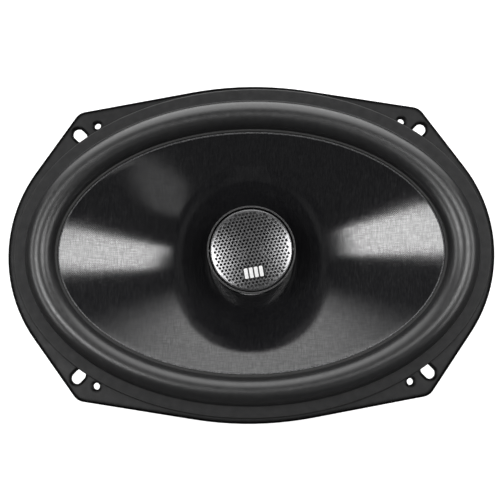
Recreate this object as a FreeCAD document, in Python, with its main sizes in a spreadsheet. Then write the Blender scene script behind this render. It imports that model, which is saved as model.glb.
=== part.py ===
import FreeCAD, Part
import math
import os
import Sketcher

# Coaxial car speaker, 235 x 164 mm frame. Units are millimetres.
# +Z is the way the speaker radiates and +X runs along the oval's long axis. The origin is the centre of
# the mounting plane, which is the rear face of the gasket under the frame's flange.

doc = FreeCAD.newDocument("coaxial_speaker")
sheet = doc.addObject("Spreadsheet::Sheet", "Dim")

DIMENSIONS = {
    "Frame outline": {
        "end_arc_centre": 47.8, "end_arc_radius": 69.7, "end_arc_half_angle": 35.3,
        "side_arc_centre": 83.0, "side_arc_radius": 165.0, "side_line_angle": 80.2,
        "tab_corner_radius": 7.0,
    },
    "Frame flange": {
        "flange_low": 1.5, "flange_top": 2.7, "rim_low": 0.3, "rim_wall": 1.2, "rim_bend": 1.0,
        "gasket_inset": 1.6, "gasket_long": 109.5, "gasket_short": 74.0,
        "slot_across": 83.1, "slot_up": 58.5, "slot_width": 5.4, "slot_length": 7.8,
        "hole_across": 74.5, "hole_up": 63.2, "hole_radius": 1.65,
    },
    "Basket": {
        "wall_long": 108.5, "wall_short": 73.0, "sheet": 1.2, "ledge_radius": 54.0,
        "ledge_top": -37.0, "ledge_inner": 44.0, "cup_radius": 45.2, "floor_low": -53.0,
        "floor_bore": 21.0, "window_top": -7.0, "window_low": -33.0, "window_corner": 4.0,
        "rib_half": 9.0, "side_window_foot": 40.0, "side_window_head": 64.0,
        "end_window_foot": 26.0, "end_window_head": 37.0,
    },
    "Surround": {
        "rubber_long": 115.0, "rubber_short": 79.8, "rubber_top": 4.2,
        "roll_out_long": 109.3, "roll_out_short": 73.8, "roll_in_long": 94.6, "roll_in_short": 60.0,
        "roll_base": 3.4, "roll_height": 7.3, "roll_sheet": 0.8,
        "rubber_shift_long": 0.6, "rubber_shift_short": 0.35, "rubber_turn": 0.4,
    },
    "Cone": {
        "cone_long": 93.3, "cone_short": 58.8, "cone_rim": 1.9, "cone_rim_depth": 1.0,
        "cone_rim_lap": 2.0, "cone_drop": 0.7,
        "cone_neck": 19.3, "cone_low": -25.0, "cone_flare": 0.8, "collar_low": -28.0,
        "collar_inner": 19.25, "collar_outer": 19.9, "collar_lap": 0.4,
    },
    "Voice coil": {
        "former_inner": 18.9, "former_outer": 19.2, "former_low": -63.0, "former_top": -24.4,
        "winding_outer": 19.7, "winding_low": -60.5, "winding_top": -50.5,
        "dust_hole": 8.0, "dust_radius": 18.85, "dust_low": -26.5, "dust_sheet": 0.6,
    },
    "Spider": {
        "spider_outer": 47.6, "spider_inner": 19.25, "spider_sheet": 0.5, "wave_start": 22.0,
        "wave_pitch": 4.2, "wave_count": 5, "wave_height": 1.3,
    },
    "Motor": {
        "plate_radius": 46.0, "plate_bore": 20.2, "plate_low": -58.0,
        "magnet_radius": 50.0, "magnet_bore": 23.0, "magnet_low": -75.0,
        "yoke_radius": 47.0, "yoke_low": -80.0, "pole_radius": 18.4,
        "recess_radius": 9.0, "recess_top": -73.5, "groove_half": 2.0, "groove_depth": 1.8,
        "rivet_circle": 34.0, "rivet_radius": 2.0, "rivet_head": 3.4, "rivet_head_height": 1.2,
    },
    "Tweeter post": {
        "post_foot": 4.0, "post_shank": 7.0, "post_neck": 5.0, "post_bore": 2.0,
        "post_shoulder": -15.1, "post_top": -6.4, "post_end": -78.0,
        "washer_radius": 8.0, "washer_low": -74.5, "nut_flats": 13.0, "nut_low": -77.5,
        "clip_radius": 7.5, "clip_low": -7.9, "clip_top": -6.9,
    },
    "Tweeter housing": {
        "ring_radius": 20.9, "ring_bore": 20.25, "ring_top": 11.5, "pivot_height": 7.0,
        "housing_floor": -8.0, "boss_low": -15.0, "boss_top": -10.5, "boss_radius": 9.0, "boss_bore": 5.05,
        "skirt_foot_radius": 13.5, "skirt_foot": -10.0, "skirt_knee_radius": 17.6, "skirt_knee": -6.5,
        "skirt_neck_radius": 20.2, "skirt_neck": 0.5, "skirt_top": 5.0,
        "pin_radius": 1.0, "pin_hole": 1.05, "pin_inner": 16.6, "pin_outer": 20.8,
    },
    "Tweeter capsule": {
        "capsule_sphere": 19.8, "capsule_low": -3.0, "capsule_face": 10.2, "capsule_bore": 16.0,
        "capsule_floor": -1.5, "mesh_radius": 19.3, "mesh_edge": 10.9, "mesh_crown": 12.2,
        "mesh_sheet": 0.6, "mesh_skirt": 0.7,
        "badge_length": 10.6, "badge_width": 6.0, "badge_sheet": 0.5, "badge_across": 1.0,
        "badge_down": 10.9, "badge_turn": 9.0, "badge_corner": 1.2,
    },
    "Tweeter drive": {
        "driver_cup_radius": 14.0, "driver_cup_bore": 11.0, "driver_cup_floor": 0.0,
        "driver_cup_top": 5.0, "driver_magnet_radius": 9.0, "driver_magnet_top": 3.2,
        "driver_plate_radius": 9.5, "driver_coil_inner": 9.9, "driver_coil_outer": 10.4,
        "driver_coil_low": 2.8, "dome_foot": 7.2, "dome_radius": 10.4, "dome_rise": 2.9,
        "dome_sheet": 0.2, "dome_frame_inner": 13.0, "dome_frame_outer": 15.9,
        "dome_frame_top": 7.2, "dome_roll_outer": 14.8,
    },
    "Terminals": {
        "board_half": 16.0, "board_inner": -46.2, "board_outer": -66.0, "board_sheet": 1.4,
        "tab_across": 10.0, "tab_inner": -57.5, "tab_outer": -72.5, "tab_sheet": 0.8,
        "wide_tab": 6.3, "narrow_tab": 4.8, "tab_rivet": -62.5, "board_rivet": -49.3,
        "small_rivet": 1.2, "small_head": 2.2, "small_head_height": 0.7,
        "capacitor_radius": 4.0, "capacitor_half": 8.0, "capacitor_back": -56.5,
        "capacitor_gap": 0.5, "capacitor_wire": 0.4, "capacitor_reach": 3.0, "capacitor_bend": 1.5,
        "capacitor_edge": 0.6,
    },
    "Leads": {
        "tinsel_radius": 0.7, "tinsel_bend": 4.5, "tinsel_start": -59.5, "tinsel_run": -26.0,
        "tinsel_end": -34.0, "tinsel_stop": -14.6, "dab_radius": 2.2, "dab_low": -14.4,
        "lead_radius": 0.45, "lead_bend": 1.0, "lead_apart": 0.8, "lead_run": -79.2, "lead_back": -51.0,
        "pigtail_radius": 0.35, "pigtail_bend": 0.7, "pigtail_foot": -6.2, "pigtail_run": -4.6,
        "pigtail_across": 4.0, "pigtail_top": -3.1,
    },
}


def fill_sheet():
    """One row for each dimension: its name, its value and the alias that expressions use."""
    row = 1
    for group, sizes in DIMENSIONS.items():
        sheet.set("A%d" % row, group)
        row += 1
        for name, value in sizes.items():
            sheet.set("A%d" % row, name)
            sheet.set("B%d" % row, str(value))
            sheet.setAlias("B%d" % row, name)
            row += 1
    doc.recompute()


fill_sheet()


def dim(name):
    """A dimension's value, read from the sheet."""
    return float(sheet.get(name))


def value_of(expression):
    """The number that an expression of the sheet's aliases gives."""
    result = sheet.evalExpression(expression)
    return float(getattr(result, "Value", result))


# ---------------------------------------------------------------- ways of making a piece

def origin_plane(body, role):
    for feature in body.Origin.OriginFeatures:
        if feature.Role == role:
            return feature
    raise ValueError("no origin plane " + role)


def plane_sketch(body, name, role):
    sketch = body.newObject("Sketcher::SketchObject", name)
    sketch.AttachmentSupport = [(origin_plane(body, role), "")]
    sketch.MapMode = "FlatFace"
    return sketch


def pin_outline(sketch, outline):
    """Draw a closed outline of straight lines, each corner held by two expressions."""
    corners = []
    for across, along in outline:
        corners.append(FreeCAD.Vector(value_of(across), value_of(along), 0))
    count = len(corners)
    for index in range(count):
        segment = Part.LineSegment(corners[index], corners[(index + 1) % count])
        sketch.addGeometry(segment, False)
    for index in range(count):
        sketch.addConstraint(Sketcher.Constraint("Coincident", index, 2, (index + 1) % count, 1))
    for index, (across, along) in enumerate(outline):
        held = (("DistanceX", across, corners[index].x), ("DistanceY", along, corners[index].y))
        for kind, expression, value in held:
            number = sketch.addConstraint(Sketcher.Constraint(kind, -1, 1, index, 1, value))
            sketch.setExpression("Constraints[%d]" % number, expression)


def turned(name, outline):
    """A body turned about Z from an outline of radius and height."""
    body = doc.addObject("PartDesign::Body", name)
    sketch = plane_sketch(body, name + "_outline", "XZ_Plane")
    pin_outline(sketch, outline)
    turn = body.newObject("PartDesign::Revolution", name + "_turn")
    turn.Profile = sketch
    turn.ReferenceAxis = (sketch, ["V_Axis"])
    turn.Angle = 360.0
    sketch.Visibility = False
    body.Tip = turn
    doc.recompute()
    return body


def ring(name, inner, outer, low, high):
    """A turned ring of rectangular section."""
    return turned(name, [(inner, low), (outer, low), (outer, high), (inner, high)])


def cylinder(name, radius, low, high):
    """A Part cylinder about Z."""
    piece = doc.addObject("Part::Cylinder", name)
    piece.setExpression("Radius", radius)
    piece.setExpression("Height", "(%s) - (%s)" % (high, low))
    piece.setExpression("Placement.Base.z", low)
    return piece


def block(name, low, high):
    """A Part box between two corners, each given as three expressions."""
    piece = doc.addObject("Part::Box", name)
    for side, axis, start, stop in zip(("Length", "Width", "Height"), "xyz", low, high):
        piece.setExpression(side, "(%s) - (%s)" % (stop, start))
        piece.setExpression("Placement.Base." + axis, start)
    return piece


def sphere_zone(name, radius, low, high):
    """The part of a sphere round the tilt pivot that lies between two heights."""
    zone = doc.addObject("Part::Sphere", name)
    zone.setExpression("Radius", radius)
    zone.setExpression("Angle1", "asin(((%s) - Dim.pivot_height) / (%s))" % (low, radius))
    zone.setExpression("Angle2", "asin(((%s) - Dim.pivot_height) / (%s))" % (high, radius))
    zone.setExpression("Placement.Base.z", "Dim.pivot_height")
    return zone


def cut(name, base, *tools):
    """A base with each tool taken from it in turn."""
    result = base
    for index, tool in enumerate(tools):
        step = doc.addObject("Part::Cut", name if index == len(tools) - 1 else name + "_cut%d" % index)
        step.Base = result
        step.Tool = tool
        result = step
    doc.recompute()
    return result


def fused(name, pieces):
    whole = doc.addObject("Part::MultiFuse", name)
    whole.Shapes = pieces
    doc.recompute()
    return whole


def computed(name, shape):
    """A piece whose shape is worked out from the sheet in code."""
    piece = doc.addObject("Part::Feature", name)
    piece.Shape = shape
    piece.Placement = FreeCAD.Placement()
    return piece


def several(name, solids):
    """One node that holds the same kind of piece more than once."""
    return computed(name, Part.makeCompound(solids))


def four_corners(across, up):
    for side in (1, -1):
        for end in (1, -1):
            yield side * across, end * up


# ---------------------------------------------------------------- shared shapes

def oval_wire(half_long, half_short, height, shift=(0.0, 0.0), turn=0.0):
    """A level ellipse, its long axis along X before it is turned."""
    ellipse = Part.Ellipse(FreeCAD.Vector(0, 0, 0), half_long, half_short)
    wire = Part.Wire([ellipse.toShape()])
    place = FreeCAD.Placement(
        FreeCAD.Vector(shift[0], shift[1], height),
        FreeCAD.Rotation(FreeCAD.Vector(0, 0, 1), turn),
    )
    wire.Placement = place
    return wire


def oval_wall(outer, inner, low, high, shift=(0.0, 0.0), turn=0.0):
    """A straight-sided ring between two ellipses."""
    rim = Part.Face(oval_wire(outer[0], outer[1], low, shift, turn))
    hole = Part.Face(oval_wire(inner[0], inner[1], low, shift, turn))
    return rim.cut(hole).extrude(FreeCAD.Vector(0, 0, high - low))


def frame_face(inset, height):
    """The frame's outline: two end arcs, two side arcs and four rounded tabs, joined by tangent lines."""
    end_angle = math.radians(dim("end_arc_half_angle"))
    side_angle = math.radians(dim("side_line_angle"))
    end_reach = dim("end_arc_centre") * math.cos(end_angle) + dim("end_arc_radius")
    side_reach = dim("side_arc_radius") - dim("side_arc_centre") * math.sin(side_angle)
    corner = dim("tab_corner_radius")
    spread = math.sin(side_angle - end_angle)
    tab_x = (
        (end_reach - corner) * math.sin(side_angle) - (side_reach - corner) * math.sin(end_angle)
    ) / spread
    tab_y = (
        (side_reach - corner) * math.cos(end_angle) - (end_reach - corner) * math.cos(side_angle)
    ) / spread
    end_centre = dim("end_arc_centre")
    side_centre = -dim("side_arc_centre")
    end_radius = dim("end_arc_radius") - inset
    side_radius = dim("side_arc_radius") - inset
    tab_radius = corner - inset
    half_turn = math.pi
    arcs = [
        (end_centre, 0, end_radius, -end_angle, end_angle),
        (tab_x, tab_y, tab_radius, end_angle, side_angle),
        (0, side_centre, side_radius, side_angle, half_turn - side_angle),
        (-tab_x, tab_y, tab_radius, half_turn - side_angle, half_turn - end_angle),
        (-end_centre, 0, end_radius, half_turn - end_angle, half_turn + end_angle),
        (-tab_x, -tab_y, tab_radius, half_turn + end_angle, half_turn + side_angle),
        (0, -side_centre, side_radius, half_turn + side_angle, 2 * half_turn - side_angle),
        (tab_x, -tab_y, tab_radius, 2 * half_turn - side_angle, 2 * half_turn - end_angle),
    ]
    edges = []
    ends = []
    for centre_x, centre_y, radius, start, stop in arcs:
        points = []
        for angle in (start, (start + stop) / 2, stop):
            points.append(FreeCAD.Vector(
                centre_x + radius * math.cos(angle), centre_y + radius * math.sin(angle), height))
        edges.append(Part.Arc(*points).toShape())
        ends.append((points[0], points[2]))
    for index, (_, stop) in enumerate(ends):
        edges.append(Part.LineSegment(stop, ends[(index + 1) % len(ends)][0]).toShape())
    return Part.Face(Part.Wire(Part.__sortEdges__(edges)))


def slot_cutter(centre_x, centre_y, low, high):
    """A slot that points at the middle of the frame at 45 degrees."""
    radius = dim("slot_width") / 2
    half = dim("slot_length") / 2 - radius
    depth = FreeCAD.Vector(0, 0, high - low)
    box = Part.makeBox(2 * half, 2 * radius, high - low, FreeCAD.Vector(-half, -radius, low))
    ends = []
    for side in (-1, 1):
        ends.append(Part.makeCylinder(radius, depth.z, FreeCAD.Vector(side * half, 0, low)))
    slot = box.fuse(ends)
    slot.rotate(FreeCAD.Vector(0, 0, 0), FreeCAD.Vector(0, 0, 1), 45 if centre_x * centre_y > 0 else -45)
    slot.translate(FreeCAD.Vector(centre_x, centre_y, 0))
    return slot


def fixing_cutters(low, high):
    """The four slots and the four small round holes of the corner tabs."""
    tools = []
    for x, y in four_corners(dim("slot_across"), dim("slot_up")):
        tools.append(slot_cutter(x, y, low, high))
    for x, y in four_corners(dim("hole_across"), dim("hole_up")):
        tools.append(Part.makeCylinder(dim("hole_radius"), high - low, FreeCAD.Vector(x, y, low)))
    return tools


def rounded_prism(points, direction, radius):
    """A straight prism on a flat outline, with the edges along its length rounded."""
    face = Part.Face(Part.makePolygon(points + [points[0]]))
    prism = face.extrude(direction)
    along = FreeCAD.Vector(direction).normalize()
    edges = []
    for edge in prism.Edges:
        run = (edge.Vertexes[-1].Point - edge.Vertexes[0].Point).normalize()
        if abs(run.dot(along)) > 0.999:
            edges.append(edge)
    return prism.makeFillet(radius, edges)


def routed_lead(points, bends, radius):
    """A round lead through a route of points, each inner point rounded by a tangent arc."""
    edges = []
    start = points[0]
    for index in range(1, len(points) - 1):
        before = (points[index - 1] - points[index]).normalize()
        after = (points[index + 1] - points[index]).normalize()
        opening = before.getAngle(after)
        back = bends[index - 1] / math.tan(opening / 2)
        enter = points[index] + before * back
        leave = points[index] + after * back
        middle = (before + after).normalize()
        centre = points[index] + middle * (bends[index - 1] / math.sin(opening / 2))
        edges.append(Part.LineSegment(start, enter).toShape())
        edges.append(Part.Arc(enter, centre - middle * bends[index - 1], leave).toShape())
        start = leave
    edges.append(Part.LineSegment(start, points[-1]).toShape())
    route = Part.Wire(edges)
    section = Part.Wire([Part.makeCircle(radius, points[0], (points[1] - points[0]).normalize())])
    lead = route.makePipeShell([section], True, False)
    expected = math.pi * radius * radius * route.Length
    if abs(lead.Volume / expected - 1) > 0.01:
        raise ValueError("a lead's volume doesn't match its length")
    return lead


# ---------------------------------------------------------------- frame

def basket():
    """Pressed steel: a tabbed flange with a turned-down rim, an oval wall with six windows, and a cup."""
    low, top = dim("flange_low"), dim("flange_top")
    rim_low, sheet_thickness = dim("rim_low"), dim("sheet")
    flange = frame_face(0, rim_low).extrude(FreeCAD.Vector(0, 0, top - rim_low))
    under = frame_face(dim("rim_wall"), rim_low).extrude(FreeCAD.Vector(0, 0, low - rim_low))
    bend = [edge for edge in flange.Edges if edge.BoundBox.ZMin > top - 0.01]
    flange = flange.makeFillet(dim("rim_bend"), bend)
    flange = flange.cut(under).cut(fixing_cutters(rim_low - 1, top + 1))

    long_axis, short_axis = dim("wall_long"), dim("wall_short")
    ledge, ledge_top = dim("ledge_radius"), dim("ledge_top")
    ledge_low = ledge_top - sheet_thickness
    outer = Part.makeLoft(
        [oval_wire(long_axis, short_axis, low), oval_wire(ledge, ledge, ledge_low)], True, True)
    inner_wires = [
        oval_wire(long_axis - sheet_thickness, short_axis - sheet_thickness, low),
        oval_wire(ledge - sheet_thickness, ledge - sheet_thickness, ledge_top),
    ]
    inner = Part.makeLoft(inner_wires, True, True)
    mouth = Part.Face(inner_wires[0]).extrude(FreeCAD.Vector(0, 0, top - low))
    shell = outer.cut(inner)
    flange = flange.cut(mouth)

    cup_outer, floor_low = dim("cup_radius"), dim("floor_low")
    cup_inner = cup_outer - sheet_thickness
    cup = Part.makeCylinder(cup_outer, ledge_top - floor_low, FreeCAD.Vector(0, 0, floor_low))
    hollow = Part.makeCylinder(
        cup_inner, ledge_top - floor_low, FreeCAD.Vector(0, 0, floor_low + sheet_thickness))
    bore = Part.makeCylinder(dim("floor_bore"), 3 * sheet_thickness, FreeCAD.Vector(0, 0, floor_low - 1))
    ledge_hole = Part.makeCylinder(cup_inner, 3 * sheet_thickness, FreeCAD.Vector(0, 0, ledge_low - 1))
    whole = flange.fuse([shell.cut(ledge_hole), cup.cut([hollow, bore])])
    whole = whole.cut(window_cutters())

    holes = []
    for x, y in rivet_places():
        holes.append(Part.makeCylinder(
            dim("rivet_radius"), 3 * sheet_thickness, FreeCAD.Vector(x, y, floor_low - 1)))
    for side in (-1, 1):
        place = FreeCAD.Vector(side * dim("tab_across"), dim("board_rivet"), ledge_low - 1)
        holes.append(Part.makeCylinder(dim("small_rivet"), 3 * sheet_thickness, place))
    return computed("basket", whole.cut(holes).removeSplitter())


def window_cutters():
    """Two windows in each long side and one in each end, all wider at the top."""
    top, low = dim("window_top"), dim("window_low")
    reach, near = dim("wall_long") + 10, dim("pole_radius")
    tools = []
    for side in (-1, 1):
        direction = FreeCAD.Vector(0, side * (reach - near), 0)
        for end in (-1, 1):
            corners = [
                (dim("rib_half"), low), (dim("side_window_foot"), low),
                (dim("side_window_head"), top), (dim("rib_half"), top),
            ]
            points = [FreeCAD.Vector(end * x, side * near, z) for x, z in corners]
            tools.append(rounded_prism(points, direction, dim("window_corner")))
        foot, head = dim("end_window_foot"), dim("end_window_head")
        points = [
            FreeCAD.Vector(side * near, y, z)
            for y, z in ((-foot, low), (foot, low), (head, top), (-head, top))
        ]
        tools.append(rounded_prism(
            points, FreeCAD.Vector(side * (reach - near), 0, 0), dim("window_corner")))
    return tools


def mounting_gasket():
    """Foam gasket under the flange, inside the turned-down rim."""
    face = frame_face(dim("gasket_inset"), 0)
    pad = face.extrude(FreeCAD.Vector(0, 0, dim("flange_low")))
    mouth = Part.Face(oval_wire(dim("gasket_long"), dim("gasket_short"), -1))
    pad = pad.cut(mouth.extrude(FreeCAD.Vector(0, 0, 4)))
    return computed("mounting_gasket", pad.cut(fixing_cutters(-1, 4)))


# ---------------------------------------------------------------- moving parts of the woofer

def roll_patch(outer, inner, height, quarter, half):
    """A quarter turn of one half of the roll's arch, as an exact rational patch."""
    base = dim("roll_base")
    corner = math.sqrt(0.5)
    turns = [(1, 0), (1, 1), (0, 1), (-1, 1), (-1, 0), (-1, -1), (0, -1), (1, -1), (1, 0)]
    surface = Part.BezierSurface()
    surface.increase(2, 2)
    for row, (along, across) in enumerate(turns[2 * quarter:2 * quarter + 3]):
        for column, (reach, lift) in enumerate(turns[2 * half:2 * half + 3]):
            share = (1 + reach) / 2
            pole = FreeCAD.Vector(
                along * (inner[0] + (outer[0] - inner[0]) * share) + dim("rubber_shift_long") * share,
                across * (inner[1] + (outer[1] - inner[1]) * share) + dim("rubber_shift_short") * share,
                base + height * lift)
            surface.setPole(row + 1, column + 1, pole, corner ** (row % 2 + column % 2))
    return surface.toShape()


def roll_solid(outer, inner, height):
    """The space under an oval half-roll whose feet stand on two ellipses."""
    patches = [roll_patch(outer, inner, height, quarter, half) for quarter in range(4) for half in range(2)]
    feet = []
    for patch in patches:
        feet.extend(edge for edge in patch.Edges if edge.BoundBox.ZMax < dim("roll_base") + 0.01)
    feet.sort(key=lambda edge: edge.Length, reverse=True)
    outline = Part.Face(Part.Wire(Part.__sortEdges__(feet[:4])))
    hole = Part.Face(Part.Wire(Part.__sortEdges__(feet[4:])))
    shell = Part.Shell(patches + outline.cut(hole).Faces)
    shell.sewShape()
    return Part.Solid(shell)


def surround():
    """One rubber moulding: flat glue flange, half-roll and the lip on the cone's rim."""
    wall = dim("roll_sheet")
    outer = (dim("roll_out_long"), dim("roll_out_short"))
    inner = (dim("roll_in_long"), dim("roll_in_short"))
    under_outer = (outer[0] - wall, outer[1] - wall)
    under_inner = (inner[0] + wall, inner[1] + wall)
    skin = roll_solid(outer, inner, dim("roll_height"))
    hollow = roll_solid(under_outer, under_inner, dim("roll_height") - wall)
    shift = (dim("rubber_shift_long"), dim("rubber_shift_short"))
    flange = oval_wall(
        (dim("rubber_long"), dim("rubber_short")), (outer[0] - wall / 2, outer[1] - wall / 2),
        dim("flange_top"), dim("rubber_top"), shift, dim("rubber_turn"))
    lip = oval_wall(
        (inner[0] + wall / 2, inner[1] + wall / 2), (dim("cone_long"), dim("cone_short")),
        dim("roll_base"), dim("rubber_top"))
    return computed("surround", skin.cut(hollow).fuse([flange, lip]))


def cone_sections(drop):
    """Level ovals from the neck to the edge, on a curve that is steeper at the neck."""
    steps = 5
    neck, low = dim("cone_neck"), dim("cone_low")
    depth = dim("roll_base") - low
    sections = []
    for step in range(steps + 1):
        share = step / steps
        sections.append(oval_wire(
            neck + (dim("cone_long") - neck) * share,
            neck + (dim("cone_short") - neck) * share,
            low + depth * share ** dim("cone_flare") - drop,
        ))
    return sections


def cone_space(drop):
    return Part.makeLoft(cone_sections(drop), True, False)


def cone():
    """Oval cone with a flat rim for the surround and a collar on the former."""
    rim_top = dim("roll_base")
    rim = oval_wall(
        (dim("cone_long") + dim("cone_rim"), dim("cone_short") + dim("cone_rim")),
        (dim("cone_long") - dim("cone_rim_lap"), dim("cone_short") - dim("cone_rim_lap")),
        rim_top - dim("cone_rim_depth"), rim_top)
    front = cone_space(0)
    wall = cone_space(dim("cone_drop")).fuse(rim).cut(front)
    core = Part.makeCylinder(
        dim("collar_inner"), rim_top - dim("collar_low"), FreeCAD.Vector(0, 0, dim("collar_low") - 1))
    collar = Part.makeCylinder(
        dim("collar_outer"), dim("cone_low") + dim("collar_lap") - dim("collar_low"),
        FreeCAD.Vector(0, 0, dim("collar_low")))
    return computed("cone", wall.fuse(collar).cut(core))


def lead_glue_dabs():
    """Two dabs of glue that hold the flexible leads to the cone's rear."""
    behind = cone_space(dim("cone_drop"))
    dabs = []
    for side in (-1, 1):
        place = FreeCAD.Vector(side * dim("tab_across"), dim("tinsel_end"), dim("dab_low"))
        dabs.append(Part.makeCylinder(dim("dab_radius"), 8, place).cut(behind))
    return several("lead_glue_dabs", [dab.Solids[0] for dab in dabs])


def spider():
    """Corrugated cloth ring from the former to the ledge."""
    start, pitch, height = dim("wave_start"), dim("wave_pitch"), dim("wave_height")
    stop = start + pitch * dim("wave_count")
    rest = dim("ledge_top")
    steps = int(dim("wave_count")) * 8
    edges = []
    for lift in (0, dim("spider_sheet")):
        points = []
        for step in range(steps + 1):
            radius = start + (stop - start) * step / steps
            wave = height * math.sin(2 * math.pi * (radius - start) / pitch)
            points.append(FreeCAD.Vector(radius, 0, rest + lift + wave))
        curve = Part.BSplineCurve()
        curve.interpolate(points)
        edges.append(curve.toShape())
    inner, outer = dim("spider_inner"), dim("spider_outer")
    low, high = rest, rest + dim("spider_sheet")
    corners = [(stop, low), (outer, low), (outer, high), (stop, high)]
    corners = [FreeCAD.Vector(r, 0, z) for r, z in corners]
    for first, second in zip(corners, corners[1:]):
        edges.append(Part.LineSegment(first, second).toShape())
    corners = [(start, high), (inner, high), (inner, low), (start, low)]
    corners = [FreeCAD.Vector(r, 0, z) for r, z in corners]
    for first, second in zip(corners, corners[1:]):
        edges.append(Part.LineSegment(first, second).toShape())
    face = Part.Face(Part.Wire(Part.__sortEdges__(edges)))
    return computed("spider", face.revolve(FreeCAD.Vector(0, 0, 0), FreeCAD.Vector(0, 0, 1), 360))


def tinsel_lead(side):
    """A braided lead from a terminal, in through a window and up to the cone's rear."""
    x = side * dim("tab_across")
    foot = dim("ledge_top") - dim("sheet") + dim("tab_sheet")
    route = [
        (dim("tinsel_start"), foot), (dim("tinsel_start"), dim("tinsel_run")),
        (dim("tinsel_end"), dim("tinsel_run")), (dim("tinsel_end"), dim("tinsel_stop")),
    ]
    points = [FreeCAD.Vector(x, y, z) for y, z in route]
    return routed_lead(points, [dim("tinsel_bend"), dim("tinsel_bend")], dim("tinsel_radius"))


# ---------------------------------------------------------------- motor

def t_yoke():
    """Rear plate and pole in one turning, bored for the post, with a nut recess and a lead groove."""
    body = turned("yoke_turning", [
        ("Dim.post_foot + 0.1", "Dim.recess_top"), ("Dim.recess_radius", "Dim.recess_top"),
        ("Dim.recess_radius", "Dim.yoke_low"), ("Dim.yoke_radius", "Dim.yoke_low"),
        ("Dim.yoke_radius", "Dim.magnet_low"), ("Dim.pole_radius", "Dim.magnet_low"),
        ("Dim.pole_radius", "Dim.floor_low"), ("Dim.post_foot + 0.1", "Dim.floor_low"),
    ])
    groove = block(
        "lead_groove",
        ("-Dim.groove_half", "-Dim.yoke_radius - 2", "Dim.yoke_low - 1"),
        ("Dim.groove_half", "-Dim.recess_radius + 1", "Dim.yoke_low + Dim.groove_depth"))
    return cut("t_yoke", body, groove)


def rivet_places():
    circle = dim("rivet_circle")
    for step in range(4):
        angle = math.radians(45 + 90 * step)
        yield circle * math.cos(angle), circle * math.sin(angle)


def top_plate():
    """Front plate of the motor, with four blind rivet holes."""
    plate = ring("plate_turning", "Dim.plate_bore", "Dim.plate_radius", "Dim.plate_low", "Dim.floor_low")
    holes = []
    for index, (x, y) in enumerate(rivet_places()):
        hole = cylinder("plate_hole%d" % index, "Dim.rivet_radius", "Dim.plate_low + 1", "Dim.floor_low + 1")
        angle = 45 + 90 * index
        hole.setExpression("Placement.Base.x", "Dim.rivet_circle * cos(%d)" % angle)
        hole.setExpression("Placement.Base.y", "Dim.rivet_circle * sin(%d)" % angle)
        holes.append(hole)
    return cut("top_plate", plate, *holes)


def domed_rivet(place, shank, shank_length, head, head_height):
    """A rivet pointing down from the face its head sits on, with a slightly domed head."""
    base = FreeCAD.Vector(*place)
    stem = Part.makeCylinder(shank, shank_length, base, FreeCAD.Vector(0, 0, -1))
    cap = Part.makeCylinder(head, head_height, base)
    top = [edge for edge in cap.Edges if edge.BoundBox.ZMin > place[2] + head_height / 2]
    rims = [edge for edge in top if edge.Length > head]
    cap = cap.makeFillet(head_height * 0.6, rims)
    return stem.fuse(cap)


def plate_rivets():
    floor_top = dim("floor_low") + dim("sheet")
    depth = floor_top - dim("plate_low") - 1
    solids = [
        domed_rivet(
            (x, y, floor_top), dim("rivet_radius"), depth, dim("rivet_head"), dim("rivet_head_height"))
        for x, y in rivet_places()
    ]
    return several("plate_rivets", solids)


def small_rivets(name, y, head_on, depth):
    """The two rivets of one row on the terminal board."""
    solids = [
        domed_rivet(
            (side * dim("tab_across"), y, head_on), dim("small_rivet"), depth,
            dim("small_head"), dim("small_head_height"))
        for side in (-1, 1)
    ]
    return several(name, solids)


# ---------------------------------------------------------------- tweeter

def tweeter_post():
    """Hollow post: a foot through the pole, a wide shank and a neck that the housing turns on."""
    return turned("tweeter_post", [
        ("Dim.post_bore", "Dim.post_end"), ("Dim.post_foot", "Dim.post_end"),
        ("Dim.post_foot", "Dim.floor_low"), ("Dim.post_shank", "Dim.floor_low"),
        ("Dim.post_shank", "Dim.post_shoulder"), ("Dim.post_neck", "Dim.post_shoulder"),
        ("Dim.post_neck", "Dim.post_top"), ("Dim.post_bore", "Dim.post_top"),
    ])


def post_nut():
    """Hexagon nut on the post's rear end."""
    corner = dim("nut_flats") / math.sqrt(3)
    points = []
    for step in range(6):
        angle = math.radians(60 * step)
        points.append(FreeCAD.Vector(corner * math.cos(angle), corner * math.sin(angle), dim("nut_low")))
    height = dim("washer_low") - dim("nut_low")
    blank = Part.Face(Part.makePolygon(points + [points[0]])).extrude(FreeCAD.Vector(0, 0, height))
    bore = Part.makeCylinder(dim("post_foot"), height, FreeCAD.Vector(0, 0, dim("nut_low")))
    return computed("post_nut", blank.cut(bore))


def pin_tools(name, radius, inner, outer):
    """Two round tools along X at the tilt pivot."""
    tools = []
    for side, angle in (("right", 90), ("left", -90)):
        tool = doc.addObject("Part::Cylinder", name + "_" + side)
        tool.setExpression("Radius", radius)
        tool.setExpression("Height", "(%s) - (%s)" % (outer, inner))
        sign = "" if angle > 0 else "-"
        tool.Placement = FreeCAD.Placement(
            FreeCAD.Vector(0, 0, 0), FreeCAD.Rotation(FreeCAD.Vector(0, 1, 0), angle))
        tool.setExpression("Placement.Base.x", "%s(%s)" % (sign, inner))
        tool.setExpression("Placement.Base.z", "Dim.pivot_height")
        tools.append(tool)
    doc.recompute()
    return tools


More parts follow.
